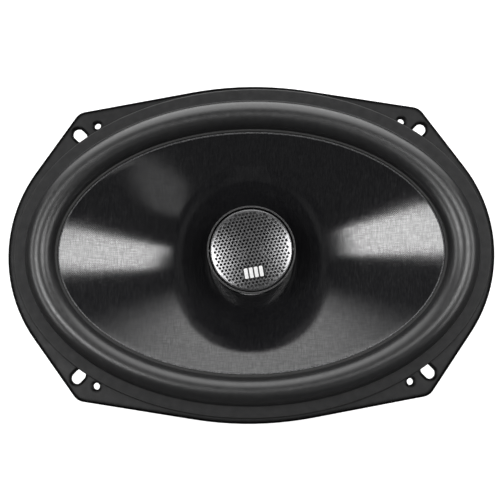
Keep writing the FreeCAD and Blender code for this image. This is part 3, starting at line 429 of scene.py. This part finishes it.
brass = cast_finish(
    "tinned_brass", (0.78, 0.63, 0.34), (0.62, 0.53, 0.36), 0.27, 1.0, (1600.0, 0.02))
sleeve = cast_finish(
    "capacitor_sleeve", (0.02, 0.035, 0.13), (0.03, 0.055, 0.2), 0.25, 0.0, (900.0, 0.01))
bare_wire = cast_finish(
    "tinned_wire", (0.72, 0.72, 0.72), (0.55, 0.55, 0.56), 0.3, 1.0, (2500.0, 0.02))

gloss_black = cast_finish(
    "housing_gloss", (0.012, 0.012, 0.013), (0.016, 0.016, 0.017), 0.2, 0.0, (1500.0, 0.003))
# Painted highlight: the housing's rounded rim is painted light grey as a bright line.
rim_painted_highlight = gloss_black.tree.nodes.new("ShaderNodeVectorMath")
rim_painted_highlight.operation = "DOT_PRODUCT"
gloss_black.feed(rim_painted_highlight.inputs[0], gloss_black.node("Bevel", Radius=0.5 * MM).outputs["Normal"])
gloss_black.feed(rim_painted_highlight.inputs[1], gloss_black.node("NewGeometry").outputs["Normal"])
gloss_black.put("Base Color", gloss_black.blend(
    gloss_black.ranged(rim_painted_highlight.outputs["Value"], 0.99, 0.9), (0.013, 0.013, 0.014), (0.2, 0.2, 0.2)))
matt_black = cast_finish(
    "capsule_matt", (0.014, 0.014, 0.015), (0.024, 0.024, 0.025), 0.55, 0.0, (2600.0, 0.04))
nickel = cast_finish("nickel", (0.62, 0.6, 0.57), (0.5, 0.49, 0.47), 0.2, 1.0, (1200.0, 0.01))
dome_foil = cast_finish(
    "dome_foil", (0.07, 0.07, 0.073), (0.05, 0.05, 0.052), 0.3, 1.0, (1000.0, 0.02))
dome_cloth = Finish("dome_roll_cloth", (0.03, 0.03, 0.032), 0.7, 0.0, Sheen_Weight=0.2)
dome_cloth.weave(0.25, 0.03)
dome_cloth.tint(900.0, (0.05, 0.05, 0.052))

mesh_steel = Finish("mesh_steel", (0.28, 0.28, 0.285), 0.27, 1.0)
mesh_steel.tint(700.0, (0.23, 0.23, 0.235)).vary(1400.0, 0.06)
mesh_steel.grain(3000.0, 0.015)

plate_pale = cast_finish(
    "badge_pale", (0.85, 0.85, 0.85), (0.78, 0.78, 0.78), 0.35, 0.0, (2000.0, 0.01))
plate_dark = cast_finish(
    "badge_dark", (0.012, 0.012, 0.012), (0.025, 0.025, 0.026), 0.3, 0.0, (2000.0, 0.01))


def coat(piece, *finishes):
    """Give a piece its materials, in place of those that it came with."""
    piece.data.materials.clear()
    for finish in finishes:
        piece.data.materials.append(finish.material)
    return piece


# ---------------------------------------------------------------- carried-over metal and plastic

def carried(name, finish, edge=0.0):
    """A CAD node with a finish of its own and a small round on its sharp edges."""
    node = nodes[name]
    for slot in node.material_slots:
        slot.material = finish.material
    if edge:
        bevel = node.modifiers.new("edge", "BEVEL")
        bevel.width = edge * MM
        bevel.segments = 2
        bevel.limit_method = "ANGLE"
        bevel.angle_limit = math.radians(40)
        bevel.use_clamp_overlap = True
        bevel.harden_normals = False


carried("basket", powder)
carried("voice_coil_former", aluminium)
carried("voice_coil_winding", copper)
carried("top_plate", zinc, 0.3)
carried("ferrite_magnet", ferrite, 0.6)
carried("t_yoke", zinc, 0.5)
carried("plate_rivets", rivet_steel)
carried("tweeter_post", post_steel, 0.25)
carried("post_washer", zinc, 0.15)
carried("post_nut", zinc, 0.25)
carried("post_clip", clip_steel, 0.15)
carried("tweeter_leads", wire_skin)
carried("terminal_board", board, 0.12)
carried("terminal_tab_wide", brass, 0.1)
carried("terminal_tab_narrow", brass, 0.1)
carried("tab_rivets", rivet_steel)
carried("board_rivets", rivet_steel)
carried("crossover_capacitor", sleeve)
carried("capacitor_leads", bare_wire)
carried("tweeter_housing", gloss_black, 0.12)
carried("trunnion_pins", clip_steel)
carried("tweeter_capsule", matt_black, 0.15)
carried("tweeter_cup", zinc, 0.2)
carried("tweeter_magnet", nickel, 0.15)
carried("tweeter_pole_plate", zinc, 0.15)
carried("tweeter_coil", copper)
carried("tweeter_dome", dome_foil)
carried("dome_frame", matt_black, 0.1)


# ---------------------------------------------------------------- surround

def oval_point(axes, angle, shift=(0.0, 0.0), turn=0.0):
    x, y = axes[0] * math.cos(angle), axes[1] * math.sin(angle)
    return (
        x * math.cos(turn) - y * math.sin(turn) + shift[0],
        x * math.sin(turn) + y * math.cos(turn) + shift[1],
    )


def surround_rails(angle):
    """The lip's edge, the roll's two feet and the flange's edge at one place round the oval."""
    return (
        oval_point(CONE_EDGE, angle),
        oval_point(ROLL_IN, angle),
        oval_point(ROLL_OUT, angle, RUBBER_SHIFT),
        oval_point(RUBBER_EDGE, angle, RUBBER_SHIFT, RUBBER_TURN),
    )


def surround_place(point, angle):
    """Reach is -1 at the lip's edge, 0 and 1 at the roll's feet and 2 at the flange's edge."""
    reach, height = point
    rails = surround_rails(angle)
    start = min(max(math.floor(reach), -1), 1)
    share = reach - start
    inner, outer = rails[start + 1], rails[start + 2]
    return (
        inner[0] + (outer[0] - inner[0]) * share,
        inner[1] + (outer[1] - inner[1]) * share,
        height,
    )


def arch(half, height, first, last, steps):
    """Points of the roll's arch, in reach and height."""
    points = []
    for step in range(steps + 1):
        turn = math.radians(first + (last - first) * step / steps)
        points.append((0.5 + half * math.cos(turn), RIM_TOP + height * math.sin(turn)))
    return points


def surround():
    wall = RUBBER_SHEET / (ROLL_OUT[0] - ROLL_IN[0])
    top = [
        (-1.0, RIM_TOP + 0.1), (-1.0, RUBBER_TOP - 0.3),
        (-0.85, RUBBER_TOP - 0.06), (-0.6, RUBBER_TOP),
        (-0.25, RUBBER_TOP), (-0.03, RUBBER_TOP + 0.04), (-0.008, RUBBER_TOP + 0.3),
    ]
    top += arch(0.5, ROLL_HEIGHT, 168, 12, 30)
    top += [
        (1.008, RUBBER_TOP + 0.3), (1.05, RUBBER_TOP + 0.04), (1.12, RUBBER_TOP), (1.5, RUBBER_TOP),
        (1.9, RUBBER_TOP), (1.96, RUBBER_TOP - 0.08), (2.0, RUBBER_TOP - 0.35),
        (2.0, RUBBER_LOW + 0.2),
        (1.97, RUBBER_LOW), (1.0, RUBBER_LOW), (0.985, RUBBER_LOW + 0.3),
    ]
    under = arch(0.5 - wall, ROLL_HEIGHT - RUBBER_SHEET, 4, 176, 24)
    under += [(-0.02, RIM_TOP), (-0.9, RIM_TOP)]
    piece = swept_ring("surround_rubber", top + under, surround_place, OVAL_STEPS)
    coat(piece, rubber, rubber_painted_shade, rubber_painted_light)
    roll, lip, rim = range(3)
    finish_of = []
    # The lip and the flange's outer wall take the painted shade, the flat flange the painted light,
    # the roll the plain rubber.
    for reach, _ in top + under:
        in_painted_shade = reach < LIP_STOP or reach >= EDGE_START
        finish_of.append(lip if in_painted_shade else rim if reach > RIM_START else roll)
    for face in piece.data.polygons:
        face.material_index = finish_of[face.index % len(finish_of)]
    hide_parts("surround")
    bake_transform(piece)

    def follows_cone(place):
        angle = math.atan2(place.y / ROLL_OUT[1], place.x / ROLL_OUT[0])
        _, inner, outer, _ = surround_rails(angle)
        span = math.hypot(*outer) - math.hypot(*inner)
        return (math.hypot(*outer) - math.hypot(place.x, place.y)) / span

    weigh(piece, follows_cone)
    return piece


surround()


# ---------------------------------------------------------------- cone

def cone_height(share):
    return CONE_LOW + (RIM_TOP - CONE_LOW) * share ** CONE_FLARE


def cone_place(point, angle):
    share, extra, height = point
    return (
        (CONE_NECK + (CONE_EDGE[0] - CONE_NECK) * share + extra) * math.cos(angle),
        (CONE_NECK + (CONE_EDGE[1] - CONE_NECK) * share + extra) * math.sin(angle),
        height,
    )


def cone():
    steps = 30
    front = [(s, 0.0, cone_height(s)) for s in (0.985 * (k / steps) ** 1.2 for k in range(steps + 1))]
    rear = [(p[0], 0.0, p[2] - CONE_WALL) for p in reversed(front[1:])]
    collar = COLLAR_OUT - CONE_NECK
    section = [(0.0, COLLAR_IN - CONE_NECK, COLLAR_LOW), (0.0, COLLAR_IN - CONE_NECK, CONE_LOW - 0.2)]
    section += front
    section += [
        (1.0, -0.35, RIM_TOP - 0.1), (1.0, -0.1, RIM_TOP - 0.02), (1.0, 0.3, RIM_TOP - 0.02),
        (1.0, CONE_RIM, RIM_TOP - 0.02), (1.0, CONE_RIM, RIM_TOP - 0.9), (1.0, -0.8, RIM_TOP - 1.0),
    ]
    section += rear
    section += [(0.0, collar, CONE_LOW - CONE_WALL), (0.0, collar, COLLAR_LOW)]
    piece = swept_ring("cone_paper", section, cone_place, OVAL_STEPS)
    coat(piece, cone_cloth)
    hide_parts("cone")
    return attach(piece, "cone_assembly")


cone()


def cone_edge_thread():
    """The cone's cut edge: a thin uneven bead just inside the rubber lip."""
    section = [
        (1.0, -0.75, RIM_TOP - 0.38), (1.0, -0.6, RIM_TOP - 0.08), (1.0, -0.3, RIM_TOP + 0.08),
        (1.0, -0.08, RIM_TOP + 0.02), (1.0, -0.12, RIM_TOP - 0.2),
    ]

    def frayed(point, angle):
        share, extra, height = point
        wander = 0.5 * math.sin(157 * angle) + 0.35 * math.sin(263 * angle + 1.1)
        wander += 0.3 * math.sin(61 * angle)
        return cone_place((share, extra + 0.06 * wander, height + 0.05 * wander), angle)

    piece = swept_ring("cone_cut_edge", section, frayed, 1200)
    coat(piece, cut_edge)
    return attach(piece, "cone_assembly")


cone_edge_thread()


# ---------------------------------------------------------------- spider, dust ring, leads and glue

def spider():
    stop = WAVE_START + WAVE_PITCH * WAVE_COUNT
    steps = WAVE_COUNT * 16

    def wave(radius):
        if WAVE_START < radius < stop:
            return WAVE_HEIGHT * math.sin(2 * math.pi * (radius - WAVE_START) / WAVE_PITCH)
        return 0.0

    line = [SPIDER_IN, (SPIDER_IN + WAVE_START) / 2]
    line += [WAVE_START + (stop - WAVE_START) * k / steps for k in range(steps + 1)]
    line += [(stop + SPIDER_OUT) / 2, SPIDER_OUT]
    top = [(r, SPIDER_REST + SPIDER_SHEET + wave(r)) for r in line]
    low = [(r, SPIDER_REST + wave(r)) for r in reversed(line)]
    piece = coat(swept_ring("spider_cloth", top + low, round_place, 180), spider_cloth)
    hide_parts("spider")
    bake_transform(piece)
    weigh(piece, lambda p: (stop - math.hypot(p.x, p.y)) / (stop - WAVE_START))


spider()


def dust_ring():
    low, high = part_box("dust_ring")
    bottom, top, outer = low.z / MM, high.z / MM, high.x / MM
    steps = 12
    section = []
    for k in range(steps + 1):
        swell = DUST_CROWN * math.sin(math.pi * k / steps)
        section.append((DUST_BORE + (outer - DUST_BORE) * k / steps, top + swell))
    section += [(r, z - (top - bottom)) for r, z in reversed(section)]
    piece = coat(swept_ring("dust_cloth_ring", section, round_place, 120), dust_cloth)
    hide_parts("dust_ring")
    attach(piece, "cone_assembly")


dust_ring()


def tinsel_lead(side, node):
    x = side * LEAD_X
    start, end = LEAD_ROUTE_Y
    route = [
        (x, start, LEAD_FOOT), (x, start, LEAD_RUN - 3), (x, start + 3, LEAD_RUN),
        (x, (start + end) / 2, LEAD_RUN + 0.6),
        (x, end - 3, LEAD_RUN), (x, end, LEAD_RUN + 3), (x, end, LEAD_TOP),
    ]

    def braid(share, angle):
        return LEAD_RADIUS * (0.84 + 0.16 * abs(math.cos(2 * (angle - 40 * share))) ** 0.5)

    piece = coat(rail(route, braid, 24, node + "_braid"), tinsel)
    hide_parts(node)
    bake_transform(piece)


tinsel_lead(-1, "tinsel_lead_left")
tinsel_lead(1, "tinsel_lead_right")


def cone_under(x, y):
    """The height of the cone's rear face over a point of the base plane."""
    low, high = 0.0, 1.0
    for _ in range(30):
        middle = (low + high) / 2
        long_axis = CONE_NECK + (CONE_EDGE[0] - CONE_NECK) * middle
        short_axis = CONE_NECK + (CONE_EDGE[1] - CONE_NECK) * middle
        if (x / long_axis) ** 2 + (y / short_axis) ** 2 > 1:
            low = middle
        else:
            high = middle
    return cone_height(low) - CONE_WALL


def glue_dabs():
    """Two uneven blobs between the leads' ends and the cone's rear."""
    low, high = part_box("lead_glue_dabs")
    top = high.z / MM
    bm = bmesh.new()
    for side in (-1, 1):
        made = bmesh.ops.create_icosphere(bm, subdivisions=4, radius=1.0)["verts"]
        for vertex in made:
            x, y, z = vertex.co
            swell = 1 + 0.1 * math.sin(5 * x + 3 * side) * math.cos(4 * y)
            across, along = side * LEAD_X, LEAD_ROUTE_Y[1]
            height = cone_under(across + DAB_RADIUS * x, along + DAB_RADIUS * y)
            depth = DAB_DEPTH * max(-z, 0.0) ** 0.8 * swell
            vertex.co = Vector((
                across + DAB_RADIUS * x * swell, along + DAB_RADIUS * y * swell,
                min(height - depth, top))) * MM
    mesh = bpy.data.meshes.new("glue_blobs")
    bm.to_mesh(mesh)
    bm.free()
    mesh.shade_smooth()
    piece = bpy.data.objects.new("glue_blobs", mesh)
    scene.collection.objects.link(piece)
    coat(piece, glue)
    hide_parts("lead_glue_dabs")
    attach(piece, "cone_assembly")


glue_dabs()


def gasket():
    """Foam pad under the flange, its edges rounded and its skin uneven."""
    source = nodes["mounting_gasket"]
    piece = bpy.data.objects.new("gasket_pad", source.data.copy())
    scene.collection.objects.link(piece)
    bm = bmesh.new()
    bm.from_mesh(piece.data)
    bmesh.ops.remove_doubles(bm, verts=bm.verts, dist=0.00001)
    bmesh.ops.dissolve_limit(bm, angle_limit=math.radians(1), verts=bm.verts, edges=bm.edges)
    sharp = [e for e in bm.edges if e.is_manifold and e.calc_face_angle() > math.radians(60)]
    bmesh.ops.bevel(
        bm, geom=sharp, offset=GASKET_ROUND * MM, segments=3, profile=0.6, affect="EDGES",
        clamp_overlap=True)
    bm.to_mesh(piece.data)
    bm.free()
    piece.data.shade_smooth()
    piece.data.set_sharp_from_angle(angle=math.radians(45))
    coat(piece, foam)
    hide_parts("mounting_gasket")
    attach(piece, "frame")


gasket()


# ---------------------------------------------------------------- tweeter

def mesh_height(radius):
    """The grille's dome: its height at a distance from the middle."""
    rise = MESH_CROWN - MESH_EDGE
    size = (MESH_RADIUS ** 2 + rise ** 2) / (2 * rise)
    return MESH_CROWN - size + math.sqrt(size ** 2 - radius ** 2)


def mesh_grille():
    """Perforated dome: the sheet is filled in between the round holes, then given its thickness."""
    rim = MESH_RADIUS - 0.45
    sides, rim_steps = 14, 128
    holes = []
    rows = int(MESH_RADIUS / HOLE_PITCH * 1.2) + 1
    for row in range(-rows, rows + 1):
        for column in range(-rows, rows + 1):
            x = HOLE_PITCH * (column + 0.5 * (row % 2))
            y = HOLE_PITCH * row * math.sqrt(0.75)
            centre = Vector((
                x * math.cos(BADGE_TURN) - y * math.sin(BADGE_TURN),
                x * math.sin(BADGE_TURN) + y * math.cos(BADGE_TURN)))
            if centre.length < rim - HOLE_RADIUS - 0.25:
                holes.append(centre)
    points, edges = [], []

    def loop(centre, radius, count):
        first = len(points)
        for k in range(count):
            turn = 2 * math.pi * k / count
            points.append(centre + Vector((math.cos(turn), math.sin(turn))) * radius)
            edges.append((first + k, first + (k + 1) % count))

    loop(Vector((0, 0)), rim, rim_steps)
    for centre in holes:
        loop(centre, HOLE_RADIUS + 0.05, sides)
    flat, _, faces, _, _, _ = delaunay_2d_cdt(points, edges, [], 0, 1e-5)
    grid = {}
    for centre in holes:
        cell = round(centre.x / HOLE_PITCH), round(centre.y / HOLE_PITCH)
        grid.setdefault(cell, []).append(centre)

    def in_hole(place):
        cell = round(place.x / HOLE_PITCH), round(place.y / HOLE_PITCH)
        for i in (-1, 0, 1):
            for j in (-1, 0, 1):
                for centre in grid.get((cell[0] + i, cell[1] + j), ()):
                    if (centre - place).length < HOLE_RADIUS - 0.02:
                        return True
        return False

    kept = []
    for face in faces:
        middle = (flat[face[0]] + flat[face[1]] + flat[face[2]]) / 3
        if middle.length < rim and not in_hole(middle):
            kept.append(face)
    bm = bmesh.new()
    made = [bm.verts.new((p.x, p.y, mesh_height(p.length))) for p in flat]
    for face in kept:
        bm.faces.new([made[k] for k in face])
    border = [e for e in bm.edges if e.is_boundary]
    bmesh.ops.delete(bm, geom=[v for v in bm.verts if not v.link_faces], context="VERTS")

    def shifted(edges_in, change):
        grown = bmesh.ops.extrude_edge_only(bm, edges=edges_in)["geom"]
        for vertex in {v for v in grown if isinstance(v, bmesh.types.BMVert)}:
            vertex.co = change(vertex.co)
        return [e for e in grown if isinstance(e, bmesh.types.BMEdge)]

    def around(place):
        """The middle of the hole or of the whole disc that a border point belongs to."""
        spot = Vector((place.x, place.y))
        if spot.length > rim - 0.1:
            return None
        return min(holes, key=lambda c: (c - spot).length_squared)

    owner = {v: around(v.co) for e in border for v in e.verts}
    hole_edges = [e for e in border if owner[e.verts[0]] is not None]
    rim_edges = [e for e in border if owner[e.verts[0]] is None]

    def pulled(place, radius, drop):
        centre = around(place)
        out = Vector((place.x, place.y)) - centre
        spot = centre + out.normalized() * radius
        return Vector((spot.x, spot.y, place.z - drop))

    rings = shifted(hole_edges, lambda p: pulled(p, HOLE_RADIUS, 0.06))
    shifted(rings, lambda p: pulled(p, HOLE_RADIUS, MESH_SHEET - 0.06))

    def outward(place, radius, height):
        spot = Vector((place.x, place.y)).normalized() * radius
        return Vector((spot.x, spot.y, height))

    edge = shifted(rim_edges, lambda p: outward(p, MESH_RADIUS - 0.2, MESH_EDGE - 0.02))
    edge = shifted(edge, lambda p: outward(p, MESH_RADIUS - 0.05, MESH_EDGE - 0.12))
    edge = shifted(edge, lambda p: outward(p, MESH_RADIUS, MESH_EDGE - 0.3))
    edge = shifted(edge, lambda p: outward(p, MESH_RADIUS, MESH_FOOT))
    edge = shifted(edge, lambda p: outward(p, MESH_RADIUS - 0.6, MESH_FOOT))
    shifted(edge, lambda p: outward(p, MESH_RADIUS - 0.65, MESH_EDGE - MESH_SHEET))
    for vertex in bm.verts:
        vertex.co *= MM
    bmesh.ops.recalc_face_normals(bm, faces=bm.faces)
    mesh = bpy.data.meshes.new("mesh_grille_sheet")
    bm.to_mesh(mesh)
    bm.free()
    mesh.shade_smooth()
    mesh.set_sharp_from_angle(angle=math.radians(35))
    piece = bpy.data.objects.new("mesh_grille_sheet", mesh)
    scene.collection.objects.link(piece)
    coat(piece, mesh_steel)
    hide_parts("mesh_grille")
    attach(piece, "tweeter_capsule_body")


mesh_grille()


def badge_block(name, centre, size, low, high, corner, finish):
    """A rounded plate on the grille's dome, given in the badge's own axes."""
    outline = []
    for sx, sy, first in ((1, 1, 0), (-1, 1, 90), (-1, -1, 180), (1, -1, 270)):
        for k in range(5):
            turn = math.radians(first + 22.5 * k)
            outline.append((
                centre[0] + sx * (size[0] / 2 - corner) + corner * math.cos(turn),
                centre[1] + sy * (size[1] / 2 - corner) + corner * math.sin(turn)))
    middle_x = sum(p[0] for p in outline) / len(outline)
    middle_y = sum(p[1] for p in outline) / len(outline)

    def lifted(point, height, inset):
        x = middle_x + (point[0] - middle_x) * (1 - inset / size[0])
        y = middle_y + (point[1] - middle_y) * (1 - inset / size[1])
        across = BADGE_AT[0] + x * math.cos(BADGE_TURN) - y * math.sin(BADGE_TURN)
        up = BADGE_AT[1] + x * math.sin(BADGE_TURN) + y * math.cos(BADGE_TURN)
        return across, up, mesh_height(math.hypot(across, up)) + height

    levels = ((low, 0.0), (high - 0.08, 0.0), (high, 0.12), (high, 0.5))
    count = len(outline)
    points = [lifted(p, height, inset) for height, inset in levels for p in outline]
    faces = []
    for level in range(len(levels) - 1):
        for k in range(count):
            a, b = level * count + k, level * count + (k + 1) % count
            faces.append((a, b, b + count, a + count))
    faces.append(tuple(range(count)))
    faces.append(tuple(range(len(points) - count, len(points))))
    piece = coat(new_mesh(name, points, faces), finish)
    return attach(piece, "tweeter_capsule_body")


def badge():
    length, width = BADGE_SIZE
    plate = badge_block("badge_plate", (0, 0), (length, width), 0.0, 0.22, 0.8, plate_dark)
    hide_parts("badge")
    bars = 4
    space = (length - 1.0) / bars
    for k in range(bars):
        across = -length / 2 + 0.5 + space * (k + 0.5)
        size = space * 0.72, width - 1.0
        badge_block("badge_bar_%d" % k, (across, 0), size, 0.1, 0.42, 0.35, plate_pale)


badge()


def dome_surround():
    """The half-roll of cloth between the dome's edge and its frame."""
    middle, radius = (DOME_EDGE + ROLL_EDGE) / 2, (ROLL_EDGE - DOME_EDGE) / 2
    thin = radius - ROLL_WALL
    turns = [math.pi * k / 16 for k in range(17)]
    section = [(DOME_EDGE, ROLL_FOOT)]
    for turn in reversed(turns[:-1]):
        section.append((middle + radius * math.cos(turn), ROLL_FOOT + 0.02 + radius * math.sin(turn)))
    section += [(ROLL_EDGE + 0.1, ROLL_FOOT + ROLL_WALL), (ROLL_RIM, ROLL_FOOT + ROLL_WALL)]
    section += [(ROLL_RIM, ROLL_FOOT)]
    section += [(middle + thin * math.cos(t), ROLL_FOOT + thin * math.sin(t)) for t in turns]
    piece = coat(swept_ring("dome_roll", section, round_place, 120), dome_cloth)
    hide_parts("dome_surround")
    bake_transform(piece)
    weigh(piece, lambda p: (ROLL_EDGE - math.hypot(p.x, p.y)) / (ROLL_EDGE - DOME_EDGE))


dome_surround()


def pigtails():
    """Two short wires from the housing's floor to the capsule, each with a slack bend."""
    route = [
        (0.8, 0, -6.2), (0.8, 0, -5.0), (1.8, 0.3, -4.5),
        (3.2, -0.3, -4.7), (4.0, 0, -4.2), (4.0, 0, -3.1),
    ]
    for side, word in ((-1, "left"), (1, "right")):
        line = [(side * x, y, z) for x, y, z in route]
        wire = rail(line, lambda share, angle: PIGTAIL_RADIUS, 14, "pigtail_" + word)
        piece = coat(wire, wire_skin)
        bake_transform(piece)
        if side > 0:
            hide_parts("capsule_pigtails")


pigtails()


# ---------------------------------------------------------------- floor, light and camera

def floor():
    """A pale board that the magnet stands on."""
    level = CAD_BOX[0][2] - FLOOR_GAP * MM
    reach = FLOOR_REACH * MM
    corners = [(x * reach, y * reach, level) for x, y in ((-1, -1), (1, -1), (1, 1), (-1, 1))]
    mesh = bpy.data.meshes.new("floor")
    mesh.from_pydata(corners, [], [(0, 1, 2, 3)])
    board_piece = bpy.data.objects.new("floor", mesh)
    scene.collection.objects.link(board_piece)
    pale = Finish("floor_pale", (0.9, 0.9, 0.9), 0.8, 0.0, Emission_Strength=0.55)
    pale.put("Emission Color", (1.0, 1.0, 1.0, 1.0))
    pale.tint(30.0, (0.88, 0.88, 0.88))
    coat(board_piece, pale)
    board_piece.visible_glossy = False


floor()


def softbox(name, toward, distance, size, strength):
    """A light at tilts in degrees towards +X and +Y from straight up, in metres.

    Its size is given across the tilt and along it.
    """
    tilt = math.radians(math.hypot(*toward))
    around = math.atan2(toward[1], toward[0])
    direction = Vector((
        math.sin(tilt) * math.cos(around), math.sin(tilt) * math.sin(around), math.cos(tilt)))
    data = bpy.data.lights.new(name, "AREA")
    data.shape = "RECTANGLE"
    data.size, data.size_y = size
    data.energy = strength * size[0] * size[1] * math.pi
    lamp = bpy.data.objects.new(name, data)
    lamp.location = direction * distance
    lamp.rotation_euler = direction.to_track_quat("Z", "Y").to_euler()
    scene.collection.objects.link(lamp)
    return lamp


def world(level, wall, start, stop):
    """A dim studio with a bright wall on the +Y side, which fades in between two slopes."""
    made = bpy.data.worlds.new("studio")
    made.use_nodes = True
    tree = made.node_tree
    back = tree.nodes["Background"]
    back.inputs["Color"].default_value = (1.0, 1.0, 1.0, 1.0)
    place = tree.nodes.new("ShaderNodeTexCoord")
    split = tree.nodes.new("ShaderNodeSeparateXYZ")
    fade = tree.nodes.new("ShaderNodeMapRange")
    fade.interpolation_type = "SMOOTHSTEP"
    limits = {"From Min": start, "From Max": stop, "To Min": level, "To Max": wall}
    for name, number in limits.items():
        fade.inputs[name].default_value = number
    tree.links.new(place.outputs["Generated"], split.inputs[0])
    tree.links.new(split.outputs["Y"], fade.inputs["Value"])
    tree.links.new(fade.outputs["Result"], back.inputs["Strength"])
    scene.world = made


world(0.06, 2.6, 0.48, 0.88)
softbox("right_box", (25.0, 5.5), 1.3, (0.37, 0.42), 9.0)
softbox("left_box", (-23.5, -1.5), 1.3, (0.44, 0.40), 9.8)
softbox("right_strip", (60.0, 0.0), 1.5, (1.6, 0.34), 4.0)
softbox("left_strip", (-60.0, 0.0), 1.5, (1.6, 0.34), 4.0)
softbox("back_patch", (22.0, -33.0), 1.5, (0.46, 0.3), 0.7)


def camera():
    """Over the speaker and a little towards -Y, with the speaker turned slightly in the picture."""
    distance, tilt, roll = 0.430, math.radians(6.5), math.radians(0.87)
    view_width, sensor = 0.2413, 36.0
    aim_right, aim_up = -0.0006274, 0.0007722
    target = Vector((0, 0, 0.0027))
    back = Vector((0, -math.sin(tilt), math.cos(tilt)))
    right, up = Vector((1, 0, 0)), Vector((0, math.cos(tilt), math.sin(tilt)))
    right_turned = right * math.cos(roll) - up * math.sin(roll)
    up_turned = right * math.sin(roll) + up * math.cos(roll)
    target = target + right_turned * aim_right + up_turned * aim_up
    data = bpy.data.cameras.new("camera")
    data.sensor_width = sensor
    data.lens = sensor * distance / view_width
    view = bpy.data.objects.new("camera", data)
    turn = Matrix((right_turned, up_turned, back)).transposed()
    view.matrix_world = Matrix.Translation(target + back * distance) @ turn.to_4x4()
    scene.collection.objects.link(view)
    scene.camera = view


camera()
scene.view_settings.view_transform = "Standard"
scene.view_settings.look = "None"
